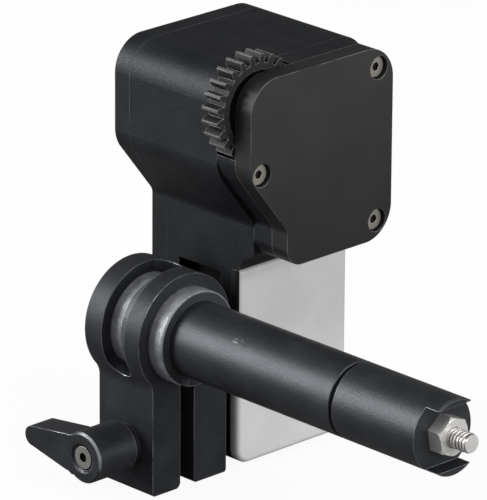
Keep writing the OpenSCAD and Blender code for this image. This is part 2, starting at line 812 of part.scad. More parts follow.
module gearbox() color([0.62, 0.63, 0.65]) {
    difference() {
        union() {
            rod_y([motor_x, motor_z], gearbox_r, inner_y0, gearbox_y1);
            rod_y([motor_x, motor_z], gearbox_nose_r, band_y1 + side_fit, inner_y0);
        }
        rod_y([motor_x, motor_z], output_r + run_fit, band_y1 - cut,
            inner_y0 + gearbox_len / 2 + side_fit);
        for (s = [-1, 1])
            rod_y([motor_x + s * gearbox_screw_at, motor_z], gearbox_screw_r + set_fit,
                inner_y0 - cut, inner_y0 + gearbox_len * 0.4);
    }
}

module gearbox_screws() color([0.12, 0.12, 0.13]) {
    for (s = [-1, 1])
        screw_y([motor_x + s * gearbox_screw_at, motor_z], band_y1, gearbox_screw_r,
            gearbox_len * 0.35, frame_head_r, frame_head_h);
}

module motor() color([0.58, 0.58, 0.60]) {
    edged_y([motor_x, motor_z], motor_r, gearbox_y1, motor_y1 - encoder_t, ring_edge);
    rod_y([motor_x, motor_z], motor_r * 0.9, motor_y1 - encoder_t, motor_y1);
}

module encoder_board() color([0.05, 0.30, 0.16]) {
    y0 = motor_y1 + encoder_post_h;
    rod_y([motor_x, motor_z], encoder_r, y0, y0 + encoder_t);
    for (a = [90, 210, 330])
        rod_y([motor_x + encoder_r * 0.75 * cos(a), motor_z + encoder_r * 0.75 * sin(a)],
            encoder_post_h, motor_y1, y0);
}

module control_board() color([0.05, 0.28, 0.15]) {
    difference() {
        box([board_x0, board_y0, board_z0], [board_x1, board_y0 + board_t, board_z1]);
        for (place = board_posts_at)
            rod_y(place, board_screw_r + side_fit, board_y0 - cut, board_y0 + board_t + cut);
    }
}

module board_parts() color([0.08, 0.08, 0.09]) {
    w = board_x1 - board_x0;
    h = board_z1 - board_z0;
    y1 = board_y0 + board_t;
    // A chip, a radio can and a connector on the board's rear
    box([board_x0 + w * 0.34, y1, board_z0 + h * 0.2], [board_x0 + w * 0.64, y1 + board_t, board_z0 + h * 0.38]);
    box([board_x0 + w * 0.2, y1, board_z0 + h * 0.48], [board_x0 + w * 0.75, y1 + board_t, board_z0 + h * 0.7]);
    box([board_x0 + w * 0.3, y1, board_z0 + h * 0.8], [board_x0 + w * 0.62, y1 + board_t, board_z0 + h * 0.9]);
}

module board_screws() color([0.72, 0.71, 0.68]) {
    for (place = board_posts_at)
        screw_y(place, board_y0 + board_t + board_head_h, board_screw_r,
            board_t + boss_len / 2, board_head_r, board_head_h, true);
}

module power_socket() color([0.66, 0.66, 0.67]) {
    mouth = arm_x1 + socket_flange_t - socket_deep;
    difference() {
        union() {
            rod_x([socket_y, socket_z], socket_r, arm_x1 - socket_len, arm_x1);
            rod_x([socket_y, socket_z], socket_flange_r, arm_x1, arm_x1 + socket_flange_t);
        }
        difference() {
            rod_x([socket_y, socket_z], socket_bore_r, mouth, arm_x1 + socket_flange_t + cut);
            for (i = [0:socket_pins - 1])
                rod_x([socket_y + socket_bore_r * 0.5 * cos(360 * i / socket_pins),
                    socket_z + socket_bore_r * 0.5 * sin(360 * i / socket_pins)],
                    socket_pin_r, mouth - cut, arm_x1 - socket_flange_t);
        }
    }
}

module setting_button() color([0.30, 0.31, 0.33]) {
    lip_x1 = arm_x1 - wall - side_fit;
    rod_x([button_y, button_z], button_r, lip_x1, arm_x1 + button_out);
    rod_x([button_y, button_z], button_lip_r, lip_x1 - button_lip_t, lip_x1);
    rod_x([button_y, button_z], button_stem_r, lip_x1 - button_lip_t * 2, lip_x1 - button_lip_t);
}

// The switch stands on the board's front and is pressed by the button's stem
module button_switch() color([0.16, 0.16, 0.17]) {
    x1 = arm_x1 - wall - button_lip_t * 2 - button_travel - side_fit * 2;
    box([x1 - switch_d, button_y - switch_w / 2, button_z - switch_w / 2],
        [x1, board_y0, button_z + switch_w / 2]);
}

module status_lamp() color([0.85, 0.86, 0.88]) {
    rod_x([button_y, lamp_z], lamp_r, arm_x1 - wall, arm_x1);
    rod_x([button_y, lamp_z], lamp_flange_r, arm_x1 - wall - lamp_flange_t, arm_x1 - wall);
}

// Outline of the clamp: the ring, its two legs and the pad, drawn in X and Z
module clamp_outline() {
    fillet = [free_x - leg_fillet,
        -sqrt(pow(ring_r + leg_fillet, 2) - pow(free_x - leg_fillet, 2))];
    small_r = leg_r / 2;
    difference() {
        union() {
            circle(r = ring_r);
            // Free leg
            polygon([[free_x, fillet[1]], [free_x, -leg_drop], [gap_x0, -leg_drop],
                [gap_x0, 0], [0, 0], fillet]);
            // Leg on the arm's side, and the pad above it
            polygon([[gap_x1, 0], [gap_x1, -leg_drop], [fixed_x, -leg_drop],
                [fixed_x, pad_z0], [arm_x0, pad_z0], [arm_x0, 0]]);
        }
        translate(fillet) circle(r = leg_fillet + edge_play);
        circle(r = bore_r);
        translate([gap_x0, -leg_drop - cut]) square([leg_gap, leg_drop + cut]);
        round_off([free_x + small_r, -leg_drop + small_r], small_r, [-1, 0], [0, -1]);
        round_off([gap_x0 - leg_r, -leg_drop + leg_r], leg_r, [1, 0], [0, -1]);
        round_off([gap_x1 + small_r, -leg_drop + small_r], small_r, [-1, 0], [0, -1]);
        round_off([fixed_x - small_r, -leg_drop + small_r], small_r, [1, 0], [0, -1]);
    }
}

// A ring sector around the rod's axis, as a solid along Y
module ring_sector(r0, r1, y0, y1, from, to) {
    translate([0, y1, 0]) rotate([90, 0, 0]) rotate([0, 0, from])
        rotate_extrude(angle = to - from) translate([r0, 0]) square([r1 - r0, y1 - y0]);
}

module clamp_block() color([0.12, 0.12, 0.13]) {
    difference() {
        union() {
            along_y(-half_w, half_w) clamp_outline();
            box([arm_x0 - key_t, key_y0, pad_z0], [arm_x0 + key_t, key_y1, key_z1]);
        }
        ring_sector(bore_r - cut, ring_r + cut, window_y0, window_y0 + window_w,
            window_from, window_to);
        for (a = [window_from, window_to])
            rotate([0, -a, 0]) rod_x([-window_off, 0], window_end_r, bore_r - cut, ring_r + cut);
        // The clamp stud runs free in the free leg and in a thread in the other
        rod_x([0, lever_z], clamp_stud_r + clamp_stud_room, free_x - cut, gap_x0 + cut);
        rod_x([0, lever_z], clamp_stud_r + run_fit, gap_x1 - cut, fixed_x + cut);
        for (z = clamp_screw_zs)
            rod_x([clamp_screw_y, z], clamp_screw_r + set_fit, clamp_screw_x0,
                arm_x0 + key_t + cut);
    }
}

module clamp_screws() color([0.12, 0.12, 0.13]) {
    x1 = arm_x0 + inner_pad_t;
    for (z = clamp_screw_zs)
        difference() {
            union() {
                rod_x([clamp_screw_y, z], clamp_screw_r, clamp_screw_x0 + side_fit, x1);
                rod_x([clamp_screw_y, z], clamp_screw_head_r, x1, x1 + clamp_screw_head_h);
            }
            translate([x1 + clamp_screw_head_h * 0.4, clamp_screw_y, z]) rotate([0, 90, 0])
                cylinder(r = clamp_screw_head_r * hex_share * 1.1547,
                    h = clamp_screw_head_h, $fn = 6);
        }
}

module reducer_sleeve() color([0.16, 0.16, 0.17]) {
    y0 = -half_w - sleeve_out;
    difference() {
        edged_y([0, 0], sleeve_r, y0, half_w, ring_edge);
        rod_y([0, 0], rod_r + run_fit, y0 - cut, half_w + cut);
        rotate([0, slit_turn, 0]) box([-sleeve_slit / 2, y0 - cut, -sleeve_r - cut],
            [sleeve_slit / 2, half_w + cut, 0]);
    }
}

// Outline of a serrated disc, drawn around the lever's axis
module serrated(r, deep) {
    polygon([for (k = [0:serrations * 2 - 1])
        let (a = 180 * k / serrations, d = k % 2 == 0 ? r : r - deep)
        [d * cos(a), d * sin(a)]]);
}

module clamp_stud() color([0.40, 0.41, 0.43]) {
    difference() {
        union() {
            rod_x([0, lever_z], clamp_stud_r, stud_head_x1, clamp_stud_x1);
            along_x(stud_head_x0, stud_head_x1) translate([0, lever_z])
                serrated(serration_r, serration_deep);
        }
        rod_x([0, lever_z], cap_shank_r + set_fit, stud_head_x0 - cut, free_x);
    }
}

module lever_washer() color([0.10, 0.10, 0.11]) {
    difference() {
        rod_x([0, lever_z], washer_r, free_x - washer_t, free_x);
        rod_x([0, lever_z], clamp_stud_r + clamp_stud_room, free_x - washer_t - cut, free_x + cut);
    }
}

// What fills the corner between the hub and the side of the arm that faces n
module lever_fillet(n, root, r) {
    along = n[1] > 0 ? [n[1], -n[0]] : [-n[1], n[0]];
    rise = root * n + lever_root_r + r;
    centre = rise * n + sqrt(pow(hub_r + r, 2) - pow(rise, 2)) * along;
    difference() {
        polygon([[0, 0], centre * hub_r / (hub_r + r), centre, centre - r * n]);
        translate(centre) circle(r = r + edge_play);
    }
}

// Outline of the lever's arm, drawn in Y and Z around the hub's centre
module lever_outline() {
    root = [hub_r * 0.8, 0];
    tip = [lever_reach, lever_tip_r * 0.2];
    run = norm(tip - root);
    lean = atan2(tip[1] - root[1], tip[0] - root[0]);
    taper = asin((lever_root_r - lever_tip_r) / run);
    up = [cos(lean + 90 - taper), sin(lean + 90 - taper)];
    down = [cos(lean - 90 + taper), sin(lean - 90 + taper)];
    root_r = lever_root_r - edge_play;
    tip_r = lever_tip_r - edge_play;
    polygon([root + root_r * down, tip + tip_r * down, tip + tip_r * up, root + root_r * up,
        [0, root_r], [0, -root_r]]);
    translate(root) circle(r = lever_root_r);
    translate(tip) circle(r = lever_tip_r);
    lever_fillet(up, root, lever_top_fillet);
    lever_fillet(down, root, lever_low_fillet);
}

module lever_handle() color([0.12, 0.12, 0.13]) {
    difference() {
        union() {
            rod_x([0, lever_z], hub_r, hub_x0 + hub_edge, hub_x1 - hub_edge);
            translate([hub_x0, 0, lever_z]) rotate([0, 90, 0])
                cylinder(r1 = hub_r - hub_edge, r2 = hub_r, h = hub_edge);
            translate([hub_x1 - hub_edge, 0, lever_z]) rotate([0, 90, 0])
                cylinder(r1 = hub_r, r2 = hub_r - hub_edge, h = hub_edge);
            along_x(hub_x0, hub_x0 + lever_t) translate([0, lever_z]) lever_outline();
        }
        // Recess, screw and spring room, shoulder hole, toothed and plain bore
        rod_x([0, lever_z], hub_recess_r, hub_x0 - cut, hub_x0 + hub_recess_deep);
        rod_x([0, lever_z], recess_r, hub_x0 - cut, shoulder_x0);
        rod_x([0, lever_z], cap_shank_r + side_fit, hub_x0 - cut, shoulder_x1 + cut);
        along_x(shoulder_x1, shoulder_x1 + grip_len + cut) translate([0, lever_z])
            serrated(hub_bore_r, serration_deep);
        rod_x([0, lever_z], hub_bore_r + side_fit, shoulder_x1 + grip_len, hub_x1 + cut);
    }
}

// Centre of the lift spring's wire after t turns
function spring_at(t) = [
    spring_x0 + (spring_x1 - spring_x0) * t / spring_turns,
    spring_r * cos(360 * t),
    lever_z + spring_r * sin(360 * t)];

// The lift spring under the screw's head, drawn at its pressed length
module lever_spring() color([0.70, 0.71, 0.73]) {
    rings = spring_turns * spring_rings;
    points = [for (k = [0:rings])
        let (t = k / spring_rings, out = [0, cos(360 * t), sin(360 * t)])
        for (i = [0:spring_sides - 1])
            let (a = 90 + 360 * i / spring_sides)
            spring_at(t) + spring_wire_r * (cos(a) * out + sin(a) * [1, 0, 0])];
    sides = [for (k = [0:rings - 1]) for (i = [0:spring_sides - 1])
        let (j = (i + 1) % spring_sides, n = k * spring_sides)
        for (f = [[n + i, n + j, n + spring_sides + j], [n + i, n + spring_sides + j, n + spring_sides + i]])
        f];
    ends = [for (i = [1:spring_sides - 2]) each [
        [0, i + 1, i],
        [rings * spring_sides, rings * spring_sides + i, rings * spring_sides + i + 1]]];
    polyhedron(points, concat(sides, ends));
    echo(least_gap = (spring_x1 - spring_x0) / spring_turns - spring_wire_r * 2);
}

module lever_screw() color([0.78, 0.77, 0.74]) {
    difference() {
        union() {
            rod_x([0, lever_z], cap_r, cap_x0, cap_x0 + cap_h);
            rod_x([0, lever_z], cap_shank_r, cap_x0 + cap_h, free_x - side_fit);
        }
        translate([cap_x0 - cut, 0, lever_z]) rotate([0, 90, 0])
            cylinder(r = cap_socket_r * 1.1547, h = cap_socket_deep + cut, $fn = 6);
    }
}

module rod_tube() color([0.13, 0.13, 0.14]) {
    difference() {
        edged_y([0, 0], rod_r, rod_y0, rod_y1, ring_edge / 2);
        rod_y([0, 0], tube_r + set_fit, rod_y0 - cut, rod_y1 + cut);
    }
}

module rod_end() color([0.13, 0.13, 0.14]) {
    difference() {
        union() {
            rod_y([0, 0], tube_r, end_y1, rod_y0 + spigot_len);
            rod_y([0, 0], rod_r - groove_deep, end_y1, rod_y0);
            edged_y([0, 0], rod_r, lug_y, end_y1, ring_edge);
        }
        box([-rod_r - cut, lug_y - cut, -slot_w / 2], [rod_r + cut, floor_y, slot_w / 2]);
        rod_y([0, 0], stud_r + set_fit, floor_y - cut, floor_y + stud_deep + side_fit);
    }
}

module rod_plug() color([0.55, 0.56, 0.58]) {
    difference() {
        rod_y([0, 0], tube_r, rod_y1 - plug_len, rod_y1 - ring_edge);
        translate([0, rod_y1, 0]) rotate([90, 0, 0])
            cylinder(r = plug_socket_r * 1.1547, h = plug_socket_len, $fn = 6);
    }
}

module end_stud() color([0.78, 0.77, 0.74]) {
    edged_y([0, 0], stud_tip_r, floor_y - stud_out, floor_y, stud_tip_edge);
    rod_y([0, 0], stud_r, floor_y - nut_h - stud_collar, floor_y + stud_deep);
}

module end_nut() color([0.76, 0.75, 0.72]) {
    corner_r = nut_af / 2 * 1.1547;
    // The front corners are turned off by a cone that starts just outside the flats
    bevel = (corner_r - nut_af / 2) * 0.9;
    translate([0, floor_y, 0]) rotate([90, 0, 0]) rotate([0, 0, -nut_turn]) difference() {
        intersection() {
            cylinder(r = corner_r, h = nut_h, $fn = 6);
            rotate_extrude() polygon([[0, 0], [corner_r + bevel, 0],
                [corner_r, nut_h - bevel], [corner_r - bevel, nut_h], [0, nut_h]]);
        }
        translate([0, 0, -cut]) cylinder(r = stud_r + set_fit, h = nut_h + cut * 2);
    }
}

main_housing();
rear_cover();
rear_cover_screws();
front_frame();
frame_screws();
front_plate();
front_plate_screws();
arm_front_cover();
front_bearing();
rear_bearing();
drive_gear();
gear_shaft();
shaft_clip();
motor_gear();
output_shaft();
gearbox();
gearbox_screws();
motor();
encoder_board();
control_board();
board_parts();
board_screws();
power_socket();
setting_button();
button_switch();
status_lamp();
clamp_block();
clamp_screws();
reducer_sleeve();
clamp_stud();
lever_washer();
lever_handle();
lever_spring();
lever_screw();
rod_tube();
rod_end();
rod_plug();
end_stud();
end_nut();
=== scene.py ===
# %% [markdown]
# A motorised follow focus unit, photographed like a product on white. The solids
# come in as a fixed frame of named parts at their real places. This lesson gives
# them their finishes, adds the few forms that a solid modeller leaves plain, and
# sets up the camera and the light. Nothing that comes in is moved or resized.

# %% Load the frame
import math

import bmesh
import bpy
from mathutils import Matrix, Vector


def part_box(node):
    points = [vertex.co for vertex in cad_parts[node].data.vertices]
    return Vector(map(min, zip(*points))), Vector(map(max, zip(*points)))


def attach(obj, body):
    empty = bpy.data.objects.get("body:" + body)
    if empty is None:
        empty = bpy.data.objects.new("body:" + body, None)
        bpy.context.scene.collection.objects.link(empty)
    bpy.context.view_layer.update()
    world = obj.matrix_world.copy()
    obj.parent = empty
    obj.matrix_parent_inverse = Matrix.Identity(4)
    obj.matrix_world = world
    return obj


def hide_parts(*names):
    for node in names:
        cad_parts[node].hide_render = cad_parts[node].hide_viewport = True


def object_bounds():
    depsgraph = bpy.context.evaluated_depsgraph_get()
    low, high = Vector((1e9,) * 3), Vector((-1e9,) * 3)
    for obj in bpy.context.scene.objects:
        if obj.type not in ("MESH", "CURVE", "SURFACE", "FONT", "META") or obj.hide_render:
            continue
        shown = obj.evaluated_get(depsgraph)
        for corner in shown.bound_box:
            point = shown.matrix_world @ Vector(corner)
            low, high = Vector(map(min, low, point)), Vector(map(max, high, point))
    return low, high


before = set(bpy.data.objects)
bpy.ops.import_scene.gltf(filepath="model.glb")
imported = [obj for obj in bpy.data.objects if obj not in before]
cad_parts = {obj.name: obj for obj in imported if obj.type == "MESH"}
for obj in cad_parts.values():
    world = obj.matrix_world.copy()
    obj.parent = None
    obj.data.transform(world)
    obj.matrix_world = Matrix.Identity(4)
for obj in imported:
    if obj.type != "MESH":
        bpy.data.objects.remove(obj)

MM = 0.001
cad_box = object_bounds()
print("parts:", len(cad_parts), "box:", cad_box)


def box_mm(node):
    """The low and high corners of a part, in millimetres."""
    return [Vector(corner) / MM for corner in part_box(node)]


# %% [markdown]
# The camera is a long lens more than a metre away, which keeps the edges of the
# unit nearly parallel. Its direction is given as two angles and a slight roll,
# and its place was found together with the sizes of the unit, so it is a plain
# point in the unit's own frame.

# %% Place the camera
CAMERA_AT_MM = (-730.65, -781.1, 409.6)
CAMERA_AZIMUTH, CAMERA_ELEVATION, CAMERA_ROLL = (math.radians(a) for a in (-43.96, 20.25, 0.39))
FOCAL_PIXELS = 6001
PICTURE_HEIGHT = 500
SENSOR_MM = 24
NEAREST_SEEN, FARTHEST_SEEN = 50 * MM, 20000 * MM


def camera_axes(azimuth, elevation, roll):
    """The right, up and backward directions of a camera, as unit vectors."""
    back = Vector((math.sin(azimuth) * math.cos(elevation),
                   -math.cos(azimuth) * math.cos(elevation),
                   math.sin(elevation)))
    right = Vector((math.cos(azimuth), math.sin(azimuth), 0))
    up = back.cross(right)
    turned_right = right * math.cos(roll) + up * math.sin(roll)
    turned_up = up * math.cos(roll) - right * math.sin(roll)
    return turned_right, turned_up, back


def make_camera():
    """A camera that looks at the unit as the photograph does."""
    data = bpy.data.cameras.new("camera")
    data.sensor_fit = "VERTICAL"
    data.sensor_height = SENSOR_MM
    data.lens = FOCAL_PIXELS / PICTURE_HEIGHT * SENSOR_MM
    data.clip_start = NEAREST_SEEN
    data.clip_end = FARTHEST_SEEN
    camera = bpy.data.objects.new("camera", data)
    bpy.context.scene.collection.objects.link(camera)
    turn = Matrix(camera_axes(CAMERA_AZIMUTH, CAMERA_ELEVATION, CAMERA_ROLL)).transposed()
    camera.matrix_world = Matrix.Translation(Vector(CAMERA_AT_MM) * MM) @ turn.to_4x4()
    bpy.context.scene.camera = camera
    return camera


camera = make_camera()
print("lens:", round(camera.data.lens, 2), "mm")

# %% [markdown]
# Finishes, the light and the stud's thread are all trees of nodes. A finish is a
# small sum over masks: so much dust where a noise is high, so much bare metal
# where an edge is near. Written as nodes one by one, such a sum is hard to read.
# So one class adds any node in one call, and a second one wraps a socket, so that
# Python's own operators add the Math nodes and a finish reads like the formula it
# is.

# %% Node maths as Python expressions
SOFT_MM = 0.05


class Tree:
    """A tree of nodes, and the means to add nodes to it."""

    def __init__(self, tree):
        self.tree = tree
        self.tree.nodes.clear()

    def node(self, kind, settings=None, sockets=None):
        """Adds a node: its settings are set first, then its sockets' values or links."""
        node = self.tree.nodes.new(kind)
        for key, value in (settings or {}).items():
            setattr(node, key, value)
        for key, value in (sockets or {}).items():
            self.feed(node.inputs[key], value)
        return node

    def feed(self, socket, value):
        """Links a socket to what its value comes from, or sets its plain value."""
        source = value.socket if isinstance(value, Value) else value
        if isinstance(source, bpy.types.NodeSocket):
            self.tree.links.new(source, socket)
        elif socket.type == "RGBA" and len(source) == 3:
            socket.default_value = (*source, 1)
        else:
            socket.default_value = source


class Value:
    """A number in a tree. In a finish it varies over the surface."""

    def __init__(self, tree, socket):
        self.tree = tree
        self.socket = socket

    def math(self, operation, *values):
        """What a Math node makes of some values."""
        node = self.tree.node("ShaderNodeMath", {"operation": operation}, dict(enumerate(values)))
        return Value(self.tree, node.outputs[0])

    def __add__(self, other):
        return self.math("ADD", self, other)

    __radd__ = __add__

    def __sub__(self, other):
        return self.math("SUBTRACT", self, other)

    def __rsub__(self, other):
        return self.math("SUBTRACT", other, self)

    def __mul__(self, other):
        return self.math("MULTIPLY", self, other)

    __rmul__ = __mul__

    def __truediv__(self, other):
        return self.math("DIVIDE", self, other)

    def __rtruediv__(self, other):
        return self.math("DIVIDE", other, self)

    def __abs__(self):
        return self.math("ABSOLUTE", self)

    def root(self):
        return self.math("SQRT", self)

    def at_most(self, other):
        return self.math("MINIMUM", self, other)

    def between(self, low, high):
        """A mask from 0 to 1, stretched so that it goes from low to high."""
        return self * (high - low) + low

    def swing(self, amount):
        """Noise made to swing round zero instead of round a half."""
        return (self - 0.5) * amount

    def step(self, low, high):
        """A smooth step from 0 at low to 1 at high."""
        node = self.tree.node(
            "ShaderNodeMapRange", {"interpolation_type": "SMOOTHSTEP"},
            {"Value": self, "From Min": low, "From Max": high})
        return Value(self.tree, node.outputs[0])

    def beyond(self, limit):
        """A mask that is 1 where a length in millimetres is past a limit, with a soft border."""
        return self.step(limit - SOFT_MM, limit + SOFT_MM)


print("a mask's border:", 2 * SOFT_MM, "mm wide")

# %% [markdown]
# A finish is a material with one Principled shader. Its patterns come from where
# a point lies on the part, in Object coordinates, so they need no unwrapping and
# stay on the part when it moves. Noise hovers round 0.5: a step from 0.56 to 0.70
# keeps only its peaks, and one from 0.3 to 0.75 makes broad soft clouds.
#
# Worn edges come from the Bevel node, which gives the normal that the surface
# would have if its edges were rounded. Where that normal and the true one part,
# an edge is near. A Mix node has sockets for every kind of data, so the ones for
# colours are reached by their numbers.

# %% A finish
MIX_SHARE, MIX_LOW, MIX_HIGH, MIX_RESULT = 0, 6, 7, 2
BEVEL_SAMPLES = 6
EDGE_PARTING = (0.01, 0.12)


class Finish(Tree):
    """A material with one Principled shader, and patterns in millimetres."""

    def __init__(self, name):
        self.material = bpy.data.materials.new(name)
        self.material.use_nodes = True
        super().__init__(self.material.node_tree)
        self.shader = self.node("ShaderNodeBsdfPrincipled")
        self.output = self.node("ShaderNodeOutputMaterial", {}, {"Surface": self.shader.outputs[0]})
        self.place = self.node("ShaderNodeTexCoord").outputs["Object"]

    def set(self, **sockets):
        """Sets or links sockets of the shader. Underscores stand for spaces."""
        for key, value in sockets.items():
            self.feed(self.shader.inputs[key.replace("_", " ")], value)

    def source(self, name):
        """What is linked to a socket of the shader, or nothing."""
        links = self.shader.inputs[name].links
        return links[0].from_socket if links else None

    def noise(self, size_mm, detail=2.0, stretch=(1, 1, 1)):
        """Noise whose blobs are about size_mm across, stretched along the axes."""
        scale = [1 / (MM * size_mm * s) for s in stretch]
        mapped = self.node("ShaderNodeMapping", {}, {"Vector": self.place, "Scale": scale}).outputs[0]
        node = self.node("ShaderNodeTexNoise", {}, {"Vector": mapped, "Scale": 1, "Detail": detail})
        return Value(self, node.outputs[0])

    def along(self, axis):
        """The place along an axis of the unit, in millimetres."""
        node = self.node("ShaderNodeSeparateXYZ", {}, {"Vector": self.place})
        return Value(self, node.outputs[axis]) * (1 / MM)

    def from_line(self, axes, line):
        """The distance in millimetres from a line that crosses two axes at a place."""
        first, second = (self.along(axis) - at for axis, at in zip(axes, line))
        return (first * first + second * second).root()

    def mix(self, share, low, high):
        """A colour between two colours, or between two links of colour."""
        sockets = {MIX_SHARE: share, MIX_LOW: low, MIX_HIGH: high}
        return self.node("ShaderNodeMix", {"data_type": "RGBA"}, sockets).outputs[MIX_RESULT]

    def edges(self, radius_mm):
        """The normal with rounded edges, and a mask that is 1 on the edges."""
        soft = self.node("ShaderNodeBevel", {"samples": BEVEL_SAMPLES}, {"Radius": radius_mm * MM}).outputs[0]
        plain = self.node("ShaderNodeNewGeometry").outputs["Normal"]
        same = self.node("ShaderNodeVectorMath", {"operation": "DOT_PRODUCT"}, {0: soft, 1: plain})
        return soft, (1 - Value(self, same.outputs["Value"])).step(*EDGE_PARTING)

    def bump(self, height, depth_mm, normal=None):
        """Bumps of the given depth, on top of a normal."""
        sockets = {"Height": height, "Distance": depth_mm * MM, "Strength": 1.0}
        if normal is not None:
            sockets["Normal"] = normal
        self.set(Normal=self.node("ShaderNodeBump", {}, sockets).outputs[0])


def tell(*finishes):
    """Prints how many nodes each finish took."""
    print("nodes:", {finish.material.name: len(finish.tree.nodes) for finish in finishes})


# %% [markdown]
# Most of the unit is aluminium that was blasted with glass beads and then
# anodised black. The beads leave a dense field of tiny dents, which spreads each
# reflection into a broad soft sheen with a fine sparkle. The dye sits in a hard
# clear layer, so the body colour is nearly black and what we see is the sheen.
# Edges are where the dye is thin and where hands and screws rub first, so a
# narrow band there is brighter, in patches; that band is also a painted highlight
# along the edges. The clamp and its lever are handled most, so they are a little
# greyer and their edges carry more wear and more painted highlight.

# %% Black anodised finish
ANODISED_BLACK = (0.0042, 0.0045, 0.0056)
CLAMP_BLACK = (0.0150, 0.0156, 0.0178)
EDGE_WEAR_AND_HIGHLIGHT = (0.40, 0.41, 0.44)
ANODISED_IOR = 1.34
COOL_TINT = (0.86, 0.93, 1.0)
DENT_MM = 0.26
FLECK_SHARE = 0.03


def anodised(name, colour, rough, edge, edge_mm):
    """Bead blasted, black anodised aluminium with worn edges that also carry a painted highlight, and fine
    bright flecks.
    """
    finish = Finish(name)
    soft, near_edge = finish.edges(edge_mm)
    dents = finish.noise(DENT_MM)
    clouds = finish.noise(size_mm=7, detail=3)
    chips = finish.noise(size_mm=1.6, detail=4).step(0.22, 0.46)
    patches = finish.noise(size_mm=9).step(0.38, 0.6)
    # The bright edge band is partly wear and partly a painted highlight.
    rubbed_and_highlit = near_edge * edge * chips * patches.between(0.25, 1)
    bare = (rubbed_and_highlit + dents.step(0.56, 0.70) * FLECK_SHARE).at_most(1)
    dusty = tuple(c * 1.4 + 0.0035 for c in colour)
    finish.set(
        Base_Color=finish.mix(bare, finish.mix(clouds.step(0.3, 0.75), colour, dusty), EDGE_WEAR_AND_HIGHLIGHT),
        Metallic=bare * 0.9,
        Roughness=rough + clouds.swing(0.12) - dents.swing(0.35) - rubbed_and_highlit * 0.1,
        Specular_Tint=COOL_TINT,
        IOR=ANODISED_IOR)
    finish.bump(dents, depth_mm=0.05, normal=soft)
    return finish


housing_finish = anodised("housing_black", ANODISED_BLACK, rough=0.48, edge=0.34, edge_mm=0.22)
clamp_finish = anodised("clamp_black", CLAMP_BLACK, rough=0.44, edge=1.3, edge_mm=0.28)
lever_finish = anodised("lever_black", CLAMP_BLACK, rough=0.42, edge=1.0, edge_mm=0.3)
tell(housing_finish, clamp_finish, lever_finish)

# %% [markdown]
# The pocket for the clamp's key lies deep in the housing's side, and no light
# gets out of it. A render of the bare form leaves it too grey, so painted shade
# is laid over the finish: a mask is 1 inside a box in millimetres, and the tint
# takes over there. What is laid is painted shade, so the metal goes too.

# %% Painted shade in the key pocket
KEY_POCKET_MM = {"X": (12.5, 16.5), "Y": (-5.5, 7.5), "Z": (-13.5, 9.2)}
POCKET_PAINTED_SHADE = (0.001, 0.001, 0.001)


def inside(finish, room):
    """A mask that is 1 inside a box, given by its limits in millimetres along some axes."""
    mask = 1
    for axis, (low, high) in room.items():
        place = finish.along(axis)
        mask = place.beyond(low) * (1 - place.beyond(high)) * mask
    return mask


def tint(finish, mask, colour, rough=None):
    """Lays a colour, and a roughness if one is given, over a finish where the mask is 1."""
    finish.set(Base_Color=finish.mix(mask, finish.source("Base Color"), colour))
    metal = finish.source("Metallic")
    if metal is not None:
        finish.set(Metallic=Value(finish, metal) * (1 - mask))
    if rough is not None:
        finish.set(Roughness=Value(finish, finish.source("Roughness")) * (1 - mask) + mask * rough)


# Painted shade: the key pocket is laid near black.
tint(housing_finish, inside(housing_finish, KEY_POCKET_MM), POCKET_PAINTED_SHADE, rough=0.9)
tell(housing_finish)

# %% [markdown]
# The lever turns on a round hub, and a thumb comes over its two rims each time
# the clamp is closed. A rim is where a point is far from the axle and close to
# one end of the hub, so the mask is made of two distances. The rims are only
# brightened on their upper front side, where the light falls: wear with a
# painted highlight on it.

# %% Worn rims of the lever's hub, with a painted highlight
HUB_RIM_MM = 0.45
LIT_SIDE_FROM, LIT_SIDE_TO = 0.5, 1.1


def rub_and_highlight_rims(finish, node, seat, axle):
    """Rubs a hub's two rims bright on their upper front side: wear and a painted highlight. It turns about an
    axle along X.
    """
    front = box_mm(node)[0]
    rear = box_mm(seat)[0].x
    ends = box_mm(axle)
    centre = (ends[0] + ends[1]) / 2
    radius = centre.y - front.y
    distance = finish.from_line("YZ", centre.yz)
    rim = distance.beyond(radius - HUB_RIM_MM + SOFT_MM) * (1 - distance.beyond(radius + 2 * SOFT_MM))
    place = finish.along("X")
    outer = 1 - place.beyond(front.x + HUB_RIM_MM - SOFT_MM)
    inner = place.beyond(rear - HUB_RIM_MM - SOFT_MM)
    # Painted highlight: only the side of the rims that faces the light is brightened.
    towards_light = (finish.along("Z") - centre.z) - (finish.along("Y") - centre.y)
    lit_side = towards_light.step(radius * LIT_SIDE_FROM, radius * LIT_SIDE_TO)
    chips = finish.noise(size_mm=1.5, detail=3).step(0.25, 0.5)
    worn_and_highlit = rim * (outer + inner) * lit_side * chips.between(0.35, 0.7)
    finish.set(
        Base_Color=finish.mix(worn_and_highlit, finish.source("Base Color"), EDGE_WEAR_AND_HIGHLIGHT),
        Metallic=(Value(finish, finish.source("Metallic")) + worn_and_highlit * 0.7).at_most(1))


rub_and_highlight_rims(lever_finish, "lever_handle", "lever_washer", "lever_screw")
tell(lever_finish)

# %% [markdown]
# The split sleeve is greyer and rougher than the clamp round it. Its dye is worn
# off on the collar and on the rear half, where it is pulled and pushed, down to
# blasted bare metal. The front half in the clamp's window keeps more of its dye,
# with a thin dark line where the two meet. The collar's face is kept black with
# painted shade, and the edges are brightened, partly as wear and partly as a
# painted highlight.
# Each of these is a stretch along Y, so simple steps along Y make the masks.

# %% Sleeve finish
SLEEVE_DYE_AND_SHADE = (0.006, 0.0065, 0.008)
SLEEVE_METAL = (0.42, 0.43, 0.455)
SLEEVE_LINE_MM = -0.1
LINE_HALF_MM = (0.06, 0.16)
COLLAR_STEP_MM = (0.5, 0.1)


